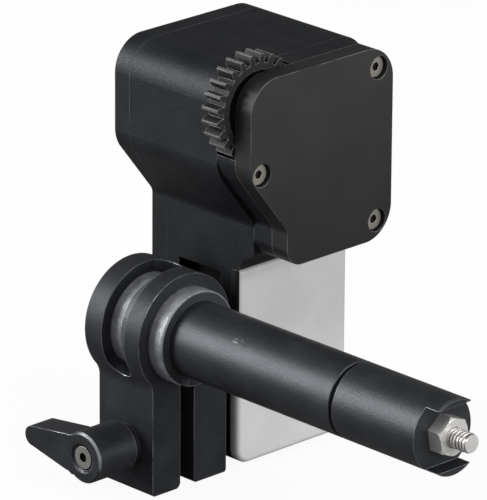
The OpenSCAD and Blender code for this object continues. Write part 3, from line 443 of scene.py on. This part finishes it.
def sleeve_grey(name):
    """Sleeve with bare blasted metal on its collar and rear half, and one dark line."""
    finish = Finish(name)
    soft, near_edge = finish.edges(radius_mm=0.26)
    dents = finish.noise(size_mm=0.34)
    clouds = finish.noise(size_mm=2.2, detail=4)
    place = finish.along("Y")
    clamp_front = box_mm("clamp_block")[0].y
    collar_end, collar_start = (clamp_front - length for length in COLLAR_STEP_MM)
    rear = place.beyond(SLEEVE_LINE_MM)
    collar = 1 - place.step(collar_end, collar_start)
    # Painted shade: the collar's front face is kept nearly black.
    face = 1 - place.beyond(box_mm("reducer_sleeve")[0].y + SOFT_MM)
    line = 1 - abs(place - SLEEVE_LINE_MM).step(*LINE_HALF_MM)
    bare = (rear.between(0.3, 1) + collar).at_most(1) * face.between(1, 0.05)
    mottled = bare * clouds.step(0.25, 0.7).between(0.5, 1) * dents.step(0.4, 0.7).between(0.75, 1)
    # The edges are brightened partly as wear, partly as a painted highlight.
    bright = (mottled + near_edge * 0.5).at_most(1) * line.between(1, 0.3)
    finish.set(
        Base_Color=finish.mix(bright, SLEEVE_DYE_AND_SHADE, SLEEVE_METAL),
        Metallic=bright * 0.6,
        Roughness=0.52 + clouds.swing(0.1) - dents.swing(0.3),
        Specular_Tint=COOL_TINT)
    finish.bump(dents, depth_mm=0.07, normal=soft)
    return finish


sleeve_finish = sleeve_grey("sleeve_grey")
tell(sleeve_finish)

# %% [markdown]
# The front plate is the same metal without the blasting: it is ground flat, dyed
# a dark grey and much calmer than the rest. A very weak grain is enough, with
# faint smudges in the colour and the roughness. Its colour grows a little paler
# towards its top, which is painted light from above, and its sides are as black
# as the housing.

# %% Front plate finish
PLATE_DARK = (0.0085, 0.0086, 0.0085)
PLATE_PALE = (0.0235, 0.0232, 0.0226)
PLATE_SIDE = (0.0115, 0.012, 0.0135)
PLATE_EDGE_WEAR_AND_HIGHLIGHT = (0.36, 0.36, 0.365)
PLATE_IOR = 1.38
PLATE_FACE_MM = 0.3
PLATE_PAINTED_LIGHT_MM = (14, 54)


def plate_grey(name):
    """Smooth dark grey plate whose sides are glossier and black."""
    finish = Finish(name)
    side = finish.along("Y").beyond(box_mm("front_plate")[0].y + PLATE_FACE_MM)
    # Painted light: the face grows paler towards the top.
    painted_top_light = finish.along("Z").step(*PLATE_PAINTED_LIGHT_MM)
    soft, near_edge = finish.edges(radius_mm=0.2)
    smudge = finish.noise(size_mm=9, detail=4)
    grain = finish.noise(size_mm=0.3)
    # The bright edge band is partly wear and partly a painted highlight.
    rubbed_and_highlit = near_edge * 0.8 * finish.noise(size_mm=5).step(0.25, 0.5)
    face = finish.mix(smudge.step(0.35, 0.7) * 0.25 + painted_top_light * 0.75, PLATE_DARK, PLATE_PALE)
    finish.set(
        Base_Color=finish.mix(rubbed_and_highlit, finish.mix(side, face, PLATE_SIDE), PLATE_EDGE_WEAR_AND_HIGHLIGHT),
        Metallic=rubbed_and_highlit * 0.6,
        Roughness=0.5 + smudge.swing(0.03) + grain * 0.04 - side * 0.05,
        IOR=PLATE_IOR)
    finish.bump(grain, depth_mm=0.002, normal=soft)
    return finish


plate_finish = plate_grey("plate_grey")
tell(plate_finish)

# %% [markdown]
# The arm's cover is pale and satin, like bare aluminium that was fine blasted
# and clear anodised. It is light enough that its shape is told by the soft
# shading of its rounded rim, so the colour itself changes little: it is made a
# little lighter towards its lower end, which is painted light thrown up by the
# floor. The upper part of its narrow side next to the clamp's ring is black,
# which is painted shade from the ring.

# %% Pale cover finish
COVER_GREY = (0.55, 0.55, 0.555)
COVER_PALE = (0.76, 0.76, 0.765)
COVER_GRAIN = (0.48, 0.48, 0.49)
COVER_SIDE_PAINTED_SHADE = (0.005, 0.005, 0.006)
COVER_PAINTED_BOUNCE_MM = (-24, 2)
COVER_SHADE_BOX_MM = {"X": (0, 12.5), "Z": (-7, 20)}


def satin_pale(name):
    """Pale satin metal of the arm's front cover, made a little lighter towards its lower end as painted light
    from the floor.
    """
    finish = Finish(name)
    clouds = finish.noise(size_mm=12, detail=3)
    grain = finish.noise(size_mm=0.25, detail=3)
    # Painted light: the lower end is lighter, as if lit by the floor.
    lower = 1 - finish.along("Z").step(*COVER_PAINTED_BOUNCE_MM)
    body = finish.mix(lower * 0.7 + clouds.step(0.3, 0.7) * 0.3, COVER_GREY, COVER_PALE)
    finish.set(
        Base_Color=finish.mix(grain.step(0.4, 0.9) * 0.2, body, COVER_GRAIN),
        Roughness=0.55 + grain.swing(0.1),
        Metallic=0.15,
        Specular_IOR_Level=0.4)
    finish.bump(grain, depth_mm=0.004)
    return finish


cover_finish = satin_pale("cover_pale")
# Painted shade: the upper narrow side by the clamp's ring is laid black.
tint(cover_finish, inside(cover_finish, COVER_SHADE_BOX_MM), COVER_SIDE_PAINTED_SHADE)
tell(cover_finish)

# %% [markdown]
# Turned and ground metal shows the tool's path. On a screw head or a nut the
# lines run round the axis, and a thin stretched noise along that axis reads as
# such lines from any side. Nickel is a little warm, steel a little cold.

# %% Bright and plated metals
EDGE_WEAR_AND_HIGHLIGHT_METAL = (0.9, 0.9, 0.9)
DULL_SHARE = 0.55


def bright_metal(name, colour, rough, axis, grime=0.35, metal=1.0):
    """Bare or plated metal, with tool marks round the given axis, some grime, and edges brightened partly as
    wear and partly as a painted highlight.
    """
    finish = Finish(name)
    soft, near_edge = finish.edges(radius_mm=0.1)
    marks = finish.noise(size_mm=0.09, detail=3, stretch=[1 if other == axis else 9 for other in "XYZ"])
    dirt = finish.noise(size_mm=1.6, detail=4)
    dull = tuple(c * DULL_SHARE for c in colour)
    # Painted highlight: the edges are brightened, partly as wear.
    clean_with_edge_highlight = finish.mix(near_edge * 0.4, colour, EDGE_WEAR_AND_HIGHLIGHT_METAL)
    finish.set(
        Base_Color=finish.mix(dirt.step(0.48, 0.8) * grime, clean_with_edge_highlight, dull),
        Metallic=metal,
        Roughness=rough + marks.swing(0.16) + dirt.step(0.4, 0.8) * 0.1)
    finish.bump(marks, depth_mm=0.004, normal=soft)
    return finish


screw_y = bright_metal("plain_steel_screws", (0.34, 0.315, 0.28), 0.34, "Y", grime=0.5, metal=0.7)
screw_x = bright_metal("plain_steel_lever_screw", (0.33, 0.325, 0.31), 0.34, "X", metal=0.7)
nickel_y = bright_metal("nickel_nut", (0.90, 0.885, 0.86), 0.24, "Y", grime=0.5, metal=0.62)
steel_y = bright_metal("ground_steel", (0.56, 0.57, 0.59), 0.28, "Y")
zinc_x = bright_metal("zinc_stud", (0.42, 0.43, 0.46), 0.34, "X")
brass_y = bright_metal("cut_brass", (0.78, 0.58, 0.28), 0.26, "Y")
oxide_y = bright_metal("oxide_screws", (0.055, 0.056, 0.06), 0.38, "Y", grime=0.2)
button_x = bright_metal("button_metal", (0.20, 0.21, 0.23), 0.3, "X", grime=0.2)
socket_x = bright_metal("socket_metal", (0.52, 0.53, 0.55), 0.26, "X", grime=0.25)
tell(screw_y, screw_x, nickel_y, steel_y, zinc_x, brass_y, oxide_y, button_x, socket_x)

# %% [markdown]
# A screw's socket and a thread's groove are darkened with painted shade. That is
# also what lets a thread whose turns are less than a millimetre apart be read
# from a metre away. Both masks are lengths: a socket starts behind the face of
# the screw's head, and a groove is closer to the stud's axis than its crests are.

# %% Painted shade in the sockets and the grooves
SOCKET_PAINTED_SHADE = (0.010, 0.008, 0.007)
LEVER_SOCKET_PAINTED_SHADE = (0.028, 0.026, 0.024)
GROOVE_PAINTED_SHADE = (0.30, 0.285, 0.26)
SOCKET_RIM_MM = 0.1
THREAD_DEPTH_MM = 0.28
CREST_MM = 0.06


def in_socket(finish, node, axis, depth_mm):
    """A mask that is 1 behind the faces of screw heads that look along an axis."""
    face = getattr(box_mm(node)[0], axis.lower())
    return inside(finish, {axis: (face + SOCKET_RIM_MM, face + depth_mm)})


def in_grooves(finish, node):
    """A mask that is 1 in the grooves of a thread along the Y axis, and 0 on the stud's end."""
    low, high = box_mm(node)
    radius = (high.x - low.x) / 2
    from_axis = finish.from_line("XZ", (0, 0))
    deep = 1 - from_axis.step(radius - THREAD_DEPTH_MM, radius - CREST_MM)
    return deep * finish.along("Y").beyond(low.y + 3 * SOFT_MM)


# Painted shade in the screw sockets and the thread grooves.
tint(screw_y, in_socket(screw_y, "front_plate_screws", "Y", depth_mm=0.75), SOCKET_PAINTED_SHADE, rough=0.6)
tint(screw_x, in_socket(screw_x, "lever_screw", "X", depth_mm=1.0), LEVER_SOCKET_PAINTED_SHADE, rough=0.6)
tint(nickel_y, in_grooves(nickel_y, "end_stud"), GROOVE_PAINTED_SHADE)
tell(screw_y, screw_x, nickel_y)

# %% [markdown]
# The drive gear is cut from black anodised stock as well. Its tooth tips meet
# the gears of lenses all day, so they are rubbed brighter than its flanks. A
# tooth tip is simply far from the gear's axis, so the distance from that axis
# gives the mask, and the gear's tip radius follows from its teeth and its module.

# %% Gear finish
GEAR_TEETH = 24
GEAR_MODULE_MM = 0.8
GEAR_TIP_MM = (GEAR_TEETH + 2) * GEAR_MODULE_MM / 2
TIP_BAND_MM = (0.25, 0.02)
GEAR_BLACK = (0.006, 0.006, 0.007)
GEAR_DUSTY = (0.022, 0.022, 0.023)
GEAR_EDGE_WEAR_AND_HIGHLIGHT = (0.40, 0.40, 0.405)


def gear_black(name, node):
    """Black gear whose tooth tips are rubbed bright and whose edges are brightened, partly as wear and partly
    as a painted highlight.
    """
    finish = Finish(name)
    low, high = box_mm(node)
    soft, near_edge = finish.edges(radius_mm=0.14)
    from_axis = finish.from_line("XZ", ((low + high) / 2).xz)
    tips = from_axis.step(*(GEAR_TIP_MM - depth for depth in TIP_BAND_MM))
    chips = finish.noise(size_mm=0.8, detail=4).step(0.22, 0.5)
    grain = finish.noise(size_mm=0.2, detail=3)
    # The edge band is partly wear and partly a painted highlight.
    worn_and_highlit = (tips * 0.2 + near_edge * 0.9).at_most(1) * chips
    finish.set(
        Base_Color=finish.mix(worn_and_highlit, finish.mix(grain, GEAR_BLACK, GEAR_DUSTY), GEAR_EDGE_WEAR_AND_HIGHLIGHT),
        Metallic=worn_and_highlit * 0.4,
        Roughness=0.56 - worn_and_highlit * 0.08 + grain * 0.06,
        IOR=ANODISED_IOR)
    finish.bump(grain, depth_mm=0.01, normal=soft)
    return finish


gear_finish = gear_black("gear_black", "drive_gear")
tell(gear_finish)

# %% [markdown]
# A rod is slid through clamps all its life. The anodised tube therefore has
# faint lines along its length where it has rubbed, and the photograph shows one
# short scuff. The scuff is a small oval patch in which the dye is gone.

# %% Rod finish
SCUFF_MM = (-5.2, -27.5, 5.4)
SCUFF_STRETCH = (0.9, 0.55, 0.9)
ROD_BLACK = (0.0095, 0.0100, 0.0115)
ROD_DUSTY = (0.0160, 0.0166, 0.0185)
ROD_IOR = 1.48


def rod_black(name):
    """Black anodised rod with slide marks, one scuff, and edges brightened partly as wear and partly as a
    painted highlight.
    """
    finish = Finish(name)
    soft, near_edge = finish.edges(radius_mm=0.16)
    dents = finish.noise(DENT_MM)
    clouds = finish.noise(size_mm=6, detail=3)
    slides = finish.noise(size_mm=0.35, stretch=(1, 30, 1))
    chips = finish.noise(size_mm=0.5, detail=4, stretch=(1, 3, 1)).step(0.45, 0.62)
    across, along, upward = (
        (finish.along(axis) - at) * scale for axis, at, scale in zip("XYZ", SCUFF_MM, SCUFF_STRETCH))
    reach = across * across + along * along + upward * upward
    scuff = (1 - reach.step(0.1, 1.0)) * chips
    faint = slides.step(0.62, 0.8) * 0.03 + dents.step(0.54, 0.68) * FLECK_SHARE
    # The bright edge band is partly wear and partly a painted highlight.
    rubbed_and_highlit = (near_edge * 0.8 + scuff * 0.35 + faint).at_most(1)
    finish.set(
        Base_Color=finish.mix(rubbed_and_highlit, finish.mix(clouds.step(0.3, 0.75), ROD_BLACK, ROD_DUSTY), EDGE_WEAR_AND_HIGHLIGHT),
        Metallic=rubbed_and_highlit * 0.8,
        Roughness=0.42 + clouds.swing(0.1) - dents.swing(0.3),
        Specular_Tint=COOL_TINT,
        IOR=ROD_IOR)
    finish.bump(dents, depth_mm=0.04, normal=soft)
    return finish


rod_finish = rod_black("rod_black")
tell(rod_finish)

# %% [markdown]
# Inside the housing sit circuit boards, moulded parts and a clear lamp. They
# only show when the unit is opened, but they get honest finishes too: solder
# mask with a faint weave of glass fibre under it, and plain moulded plastic.

# %% Boards, mouldings and the lamp
BOARD_GREEN = (0.006, 0.07, 0.03)
WEAVE_GREEN = (0.012, 0.12, 0.05)
PLASTIC_BLACK = (0.015, 0.015, 0.016)
LAMP_CLEAR = (0.75, 0.78, 0.80)


def moulded(name, colour, rough, clear=0.0):
    """Moulded plastic with a fine texture."""
    finish = Finish(name)
    grain = finish.noise(size_mm=0.3, detail=3)
    pale = tuple(min(1, c * 1.4) for c in colour)
    finish.set(
        Base_Color=finish.mix(grain.step(0.4, 0.8) * 0.5, colour, pale),
        Roughness=rough + grain.swing(0.1),
        Transmission_Weight=clear)
    finish.bump(grain, depth_mm=0.006)
    return finish


def solder_mask(name):
    """Green board: the weave of its glass fibre shows faintly through the mask."""
    finish = Finish(name)
    warp, weft = (finish.noise(size_mm=0.5, detail=1, stretch=way) for way in ((6, 1, 1), (1, 1, 6)))
    weave = warp * weft
    finish.set(
        Base_Color=finish.mix(weave.step(0.15, 0.4), BOARD_GREEN, WEAVE_GREEN),
        Roughness=0.25 + weave * 0.2)
    finish.bump(weave, depth_mm=0.01)
    return finish


board_finish = solder_mask("board_green")
plastic_black = moulded("plastic_black", PLASTIC_BLACK, rough=0.45)
lamp_clear = moulded("lamp_clear", LAMP_CLEAR, rough=0.2, clear=0.6)
tell(board_finish, plastic_black, lamp_clear)

# %% [markdown]
# Each solid now gets the finish of what it is made of. The table is listed,
# because a name says more about a part than its place does.

# %% Dress the solids
FINISHES = {
    housing_finish: ["main_housing", "rear_cover", "front_frame"],
    clamp_finish: ["clamp_block", "lever_washer"],
    lever_finish: ["lever_handle"],
    sleeve_finish: ["reducer_sleeve"],
    plate_finish: ["front_plate"],
    cover_finish: ["arm_front_cover"],
    screw_y: ["front_plate_screws", "board_screws"],
    nickel_y: ["end_stud", "end_nut"],
    screw_x: ["lever_screw", "lever_spring"],
    zinc_x: ["clamp_stud"],
    oxide_y: ["rear_cover_screws", "frame_screws", "gearbox_screws", "clamp_screws"],
    steel_y: ["front_bearing", "rear_bearing", "gear_shaft", "shaft_clip", "output_shaft", "gearbox", "motor",
              "rod_plug"],
    brass_y: ["motor_gear"],
    gear_finish: ["drive_gear"],
    rod_finish: ["rod_tube", "rod_end"],
    board_finish: ["control_board", "encoder_board"],
    plastic_black: ["board_parts", "button_switch"],
    socket_x: ["power_socket"],
    button_x: ["setting_button"],
    lamp_clear: ["status_lamp"],
}


def dress(obj, finish):
    """Puts one finish on all of an object."""
    obj.data.materials.clear()
    obj.data.materials.append(finish.material)


for finish, nodes in FINISHES.items():
    for node in nodes:
        dress(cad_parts[node], finish)
dressed = {node for nodes in FINISHES.values() for node in nodes}
print("undressed:", sorted(set(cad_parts) - dressed))

# %% [markdown]
# The arm's pale cover has a soft rounded rim, as a rounding cutter leaves it, and
# the solid only steps it. The cover is remade here as a loop of points round its
# outline that is drawn in along a quarter circle towards the front: the outline
# is a function, so the rim is a sweep of it.

# %% Rounded front cover of the arm
COVER_CORNER = 3 * MM
COVER_TOP_CORNER = 0.3 * MM
COVER_LEAST_CORNER = 0.2 * MM
COVER_RIM = 1.0 * MM
COVER_DEPTH = 2.2 * MM
CORNER_STEPS = 8
RIM_STEPS = 6


def cover_loop(low, high, inset, depth):
    """Points round the cover's outline, drawn in by inset, at a depth along Y.

    Each corner has its centre, its radius and the angle in degrees at which it starts.
    """
    x0, x1, z0, z1 = low.x + inset, high.x - inset, low.z + inset, high.z - inset
    radius = max(COVER_CORNER - inset, COVER_LEAST_CORNER)
    top = COVER_TOP_CORNER
    corners = [(x1 - radius, z0 + radius, radius, 270), (x1 - top, z1 - top, top, 0),
               (x0 + top, z1 - top, top, 90), (x0 + radius, z0 + radius, radius, 180)]
    points = []
    for x, z, r, start in corners:
        for step in range(CORNER_STEPS + 1):
            angle = math.radians(start + 90 * step / CORNER_STEPS)
            points.append(Vector((x + r * math.cos(angle), depth, z + r * math.sin(angle))))
    return points


def skin(shape, loops):
    """Joins loops of points by faces and closes both ends."""
    rings = [[shape.verts.new(point) for point in loop] for loop in loops]
    count = len(rings[0])
    for ring, after in zip(rings, rings[1:]):
        for i in range(count):
            shape.faces.new((ring[i], ring[(i + 1) % count], after[(i + 1) % count], after[i]))
    shape.faces.new(rings[0])
    shape.faces.new(list(reversed(rings[-1])))


def cover_mesh(node):
    """The cover: its side wall, its rounded rim and its flat front."""
    low, high = (Vector(corner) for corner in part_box(node))
    loops = [cover_loop(low, high, 0, low.y + COVER_DEPTH)]
    for step in range(RIM_STEPS + 1):
        angle = math.radians(90 * step / RIM_STEPS)
        inset, depth = COVER_RIM * (1 - math.cos(angle)), COVER_RIM * (1 - math.sin(angle))
        loops.append(cover_loop(low, high, inset, low.y + depth))
    mesh = bpy.data.meshes.new("cover")
    shape = bmesh.new()
    skin(shape, loops)
    bmesh.ops.recalc_face_normals(shape, faces=shape.faces)
    shape.to_mesh(mesh)
    shape.free()
    mesh.shade_smooth()
    return mesh


def place_piece(name, mesh, finish, body):
    """Makes a piece of a finished mesh, dresses it and lets it ride on a body."""
    mesh.name = name
    piece = bpy.data.objects.new(name, mesh)
    bpy.context.scene.collection.objects.link(piece)
    dress(piece, finish)
    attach(piece, body)
    return piece


arm_cover = place_piece(
    "arm_cover_rounded", cover_mesh("arm_front_cover"), cover_finish, "housing")
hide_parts("arm_front_cover")
print("cover faces:", len(arm_cover.data.polygons))

# %% [markdown]
# The stud at the rod's end has a metric thread. A thread is one ridge that winds
# round a core, so it suits Geometry Nodes: a spiral curve is the path, a small
# four-sided profile is the ridge, and Curve to Mesh sweeps one along the other.
# Pitch, radius, depth and length are inputs of the tree, so the same tree would
# thread any other stud. The ridge stops a little short of both ends of the core,
# so that the stud's end stays flat and within the solid's length.

# %% Threaded stud, with Geometry Nodes
THREAD_PITCH_MM = 0.8
RIDGE_MARGIN = 1.3
CORE_SHARE = 0.95
TURN_POINTS = 40
CORE_SIDES = 48
RIDGE_SIDES = 4
THREAD_INPUTS = ("Radius", "Length", "Pitch", "Depth")


def thread_tree(material):
    """A tree that makes a threaded stud along -Y from the origin, and gives it a material."""
    group = bpy.data.node_groups.new("thread", "GeometryNodeTree")
    for name in THREAD_INPUTS:
        group.interface.new_socket(name, in_out="INPUT", socket_type="NodeSocketFloat")
    group.interface.new_socket("Geometry", in_out="OUTPUT", socket_type="NodeSocketGeometry")
    tree = Tree(group)
    given = tree.node("NodeGroupInput").outputs
    radius, length, pitch, depth = (Value(tree, given[name]) for name in THREAD_INPUTS)

    def moved(shape, upward):
        """A shape moved along Z."""
        way = tree.node("ShaderNodeCombineXYZ", {}, {"Z": upward}).outputs[0]
        return tree.node("GeometryNodeTransform", {}, {"Geometry": shape, "Translation": way}).outputs[0]

    margin = depth * RIDGE_MARGIN
    turned = length - margin * 2
    middle = radius - depth
    spiral = tree.node("GeometryNodeCurveSpiral", {}, {
        "Resolution": TURN_POINTS, "Rotations": turned / pitch, "Start Radius": middle, "End Radius": middle,
        "Height": turned})
    profile = tree.node("GeometryNodeCurvePrimitiveCircle", {}, {"Resolution": RIDGE_SIDES, "Radius": depth})
    ridge = tree.node("GeometryNodeCurveToMesh", {}, {
        "Curve": spiral.outputs[0], "Profile Curve": profile.outputs[0], "Fill Caps": True})
    core = tree.node("GeometryNodeMeshCylinder", {}, {
        "Vertices": CORE_SIDES, "Radius": radius - depth * CORE_SHARE, "Depth": length})
    both = tree.node("GeometryNodeJoinGeometry")
    tree.feed(both.inputs[0], moved(core.outputs["Mesh"], length / 2))
    tree.feed(both.inputs[0], moved(ridge.outputs[0], margin))
    laid = tree.node("GeometryNodeTransform", {}, {
        "Geometry": both.outputs[0], "Rotation": (math.radians(90), 0, 0)})
    real = tree.node("GeometryNodeRealizeInstances", {}, {"Geometry": laid.outputs[0]})
    coated = tree.node("GeometryNodeSetMaterial", {}, {"Geometry": real.outputs[0], "Material": material})
    tree.node("NodeGroupOutput", {}, {0: coated.outputs[0]})
    return group


def grown_mesh(group, values, move):
    """Runs a tree on an empty mesh, keeps the result as a plain mesh and moves it into place."""
    seed = bpy.data.objects.new("seed", bpy.data.meshes.new("seed"))
    bpy.context.scene.collection.objects.link(seed)
    modifier = seed.modifiers.new("grow", "NODES")
    modifier.node_group = group
    for item in group.interface.items_tree:
        if item.in_out == "INPUT":
            modifier[item.identifier] = values[item.name]
    bpy.context.view_layer.update()
    depsgraph = bpy.context.evaluated_depsgraph_get()
    mesh = bpy.data.meshes.new_from_object(seed.evaluated_get(depsgraph))
    bpy.data.objects.remove(seed)
    mesh.transform(Matrix.Translation(move))
    return mesh


stud_low, stud_high = (Vector(corner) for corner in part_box("end_stud"))
stud_sizes = {"Radius": (stud_high.x - stud_low.x) / 2, "Length": stud_high.y - stud_low.y,
              "Pitch": THREAD_PITCH_MM * MM, "Depth": THREAD_DEPTH_MM * MM}
stud_mesh = grown_mesh(thread_tree(nickel_y.material), stud_sizes, Vector((0, stud_high.y, 0)))
threaded_stud = place_piece("threaded_stud", stud_mesh, nickel_y, "rod")
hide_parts("end_stud")
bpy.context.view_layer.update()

# %% [markdown]
# The light is that of a white tent, which shows the black metal as soft greys. A
# white tent mirrored in black metal looks milky, so the camera sees pure white
# but the unit is lit by a dimmer tent, with a dark card behind it on the right.
# A large panel behind and to the left makes the long highlight on the tube and
# the clamp. A second one above lifts the upper edges, and a third in front lights
# the plate, the cover and the end of the rod.

# %% World and lamps
DARK_CARD = Vector((0.65, 0.675, 0.35)).normalized()
DARK_CARD_EDGE = (0.45, 0.85)
DARK_CARD_SHARE = 0.15
TENT_LEVEL = 0.34
GLOSSY_SHARE = 0.1


def seen_white(tree, glossy_share):
    """A mask that is 1 to the camera and through glass, and a share in glossy reflections."""
    path = tree.node("ShaderNodeLightPath").outputs
    camera_ray, glossy_ray, transmission_ray = (
        Value(tree, path[f"Is {kind} Ray"]) for kind in ("Camera", "Glossy", "Transmission"))
    return (camera_ray + transmission_ray + glossy_ray * glossy_share).at_most(1)


def make_world():
    """An even surround that is white to the camera, with a dark card behind the unit on the right."""
    world = bpy.data.worlds.new("tent")
    world.use_nodes = True
    sky = Tree(world.node_tree)
    way = sky.node("ShaderNodeTexCoord").outputs["Generated"]
    towards = sky.node("ShaderNodeVectorMath", {"operation": "DOT_PRODUCT"}, {0: way, 1: DARK_CARD})
    card = Value(sky, towards.outputs["Value"]).step(*DARK_CARD_EDGE)
    tent = card.between(TENT_LEVEL, TENT_LEVEL * DARK_CARD_SHARE)
    level = tent + (1 - tent) * seen_white(sky, GLOSSY_SHARE)
    background = sky.node("ShaderNodeBackground", {}, {"Color": (1, 1, 1), "Strength": level})
    sky.node("ShaderNodeOutputWorld", {}, {"Surface": background.outputs[0]})
    bpy.context.scene.world = world
    return sky


def panel(name, direction, distance, size, power):
    """A rectangular lamp that faces the unit from a direction. Lengths are in metres."""
    data = bpy.data.lights.new(name, "AREA")
    data.shape = "RECTANGLE"
    data.size, data.size_y = size
    data.energy = power
    lamp = bpy.data.objects.new(name, data)
    away = Vector(direction).normalized()
    lamp.location = away * distance
    lamp.rotation_euler = away.to_track_quat("Z", "Y").to_euler()
    bpy.context.scene.collection.objects.link(lamp)


world_tree = make_world()
panel("left_rear", direction=(-0.63, 0.675, 0.38), distance=0.9, size=(0.5, 0.55), power=9)
panel("above", direction=(-0.1, -0.3, 1.0), distance=1.1, size=(0.8, 0.8), power=4)
panel("front", direction=(0.25, -1.0, 0.25), distance=1.2, size=(0.8, 0.6), power=9.5)
print("world nodes:", len(world_tree.tree.nodes), "lamps:", len(bpy.data.lights))

# %% [markdown]
# The floor is paper. To the camera it should be plain white with a soft shadow,
# so most of what the camera sees is a white glow, and a share of real shaded
# white paper lets the shadow through. The black metal would look milky over a
# white floor, though, so the light that the floor throws back at the unit is that
# of grey paper, with a share of the white glow added in glossy reflections. The
# grey is darker near the unit, where the paper lies in its shade.

# %% Floor
FLOOR_GLOW = 0.93
WHITE_PAPER = (0.84, 0.84, 0.84)
NEAR_PAPER = (0.17, 0.17, 0.17)
FAR_PAPER = (0.32, 0.32, 0.32)
PAPER_FADE_MM = (60, 240)
FLOOR_HALF = 6000 * MM
FLOOR_BELOW = 0.02 * MM


def paper():
    """White paper to the camera, and grey paper to the unit."""
    finish = Finish("paper")
    far = finish.from_line("XY", (0, 0)).step(*PAPER_FADE_MM)
    seen = seen_white(finish, far * GLOSSY_SHARE)
    grey = finish.mix(far, NEAR_PAPER, FAR_PAPER)
    finish.set(Base_Color=finish.mix(seen, grey, WHITE_PAPER), Roughness=0.9, Specular_IOR_Level=0.1)
    glow = finish.node("ShaderNodeEmission", {}, {"Color": (1, 1, 1), "Strength": 1.0})
    both = finish.node(
        "ShaderNodeMixShader", {}, {0: seen * FLOOR_GLOW, 1: finish.shader.outputs[0], 2: glow.outputs[0]})
    finish.feed(finish.output.inputs["Surface"], both.outputs[0])
    return finish


def make_floor(finish):
    """One large sheet of paper just under the unit."""
    mesh = bpy.data.meshes.new("floor")
    half = FLOOR_HALF
    level = cad_box[0][2] - FLOOR_BELOW
    corners = [(-half, -half, level), (half, -half, level), (half, half, level), (-half, half, level)]
    mesh.from_pydata(corners, [], [(0, 1, 2, 3)])
    floor = bpy.data.objects.new("floor", mesh)
    bpy.context.scene.collection.objects.link(floor)
    dress(floor, finish)


paper_finish = paper()
make_floor(paper_finish)
tell(paper_finish)
bpy.context.scene.view_settings.view_transform = "Standard"
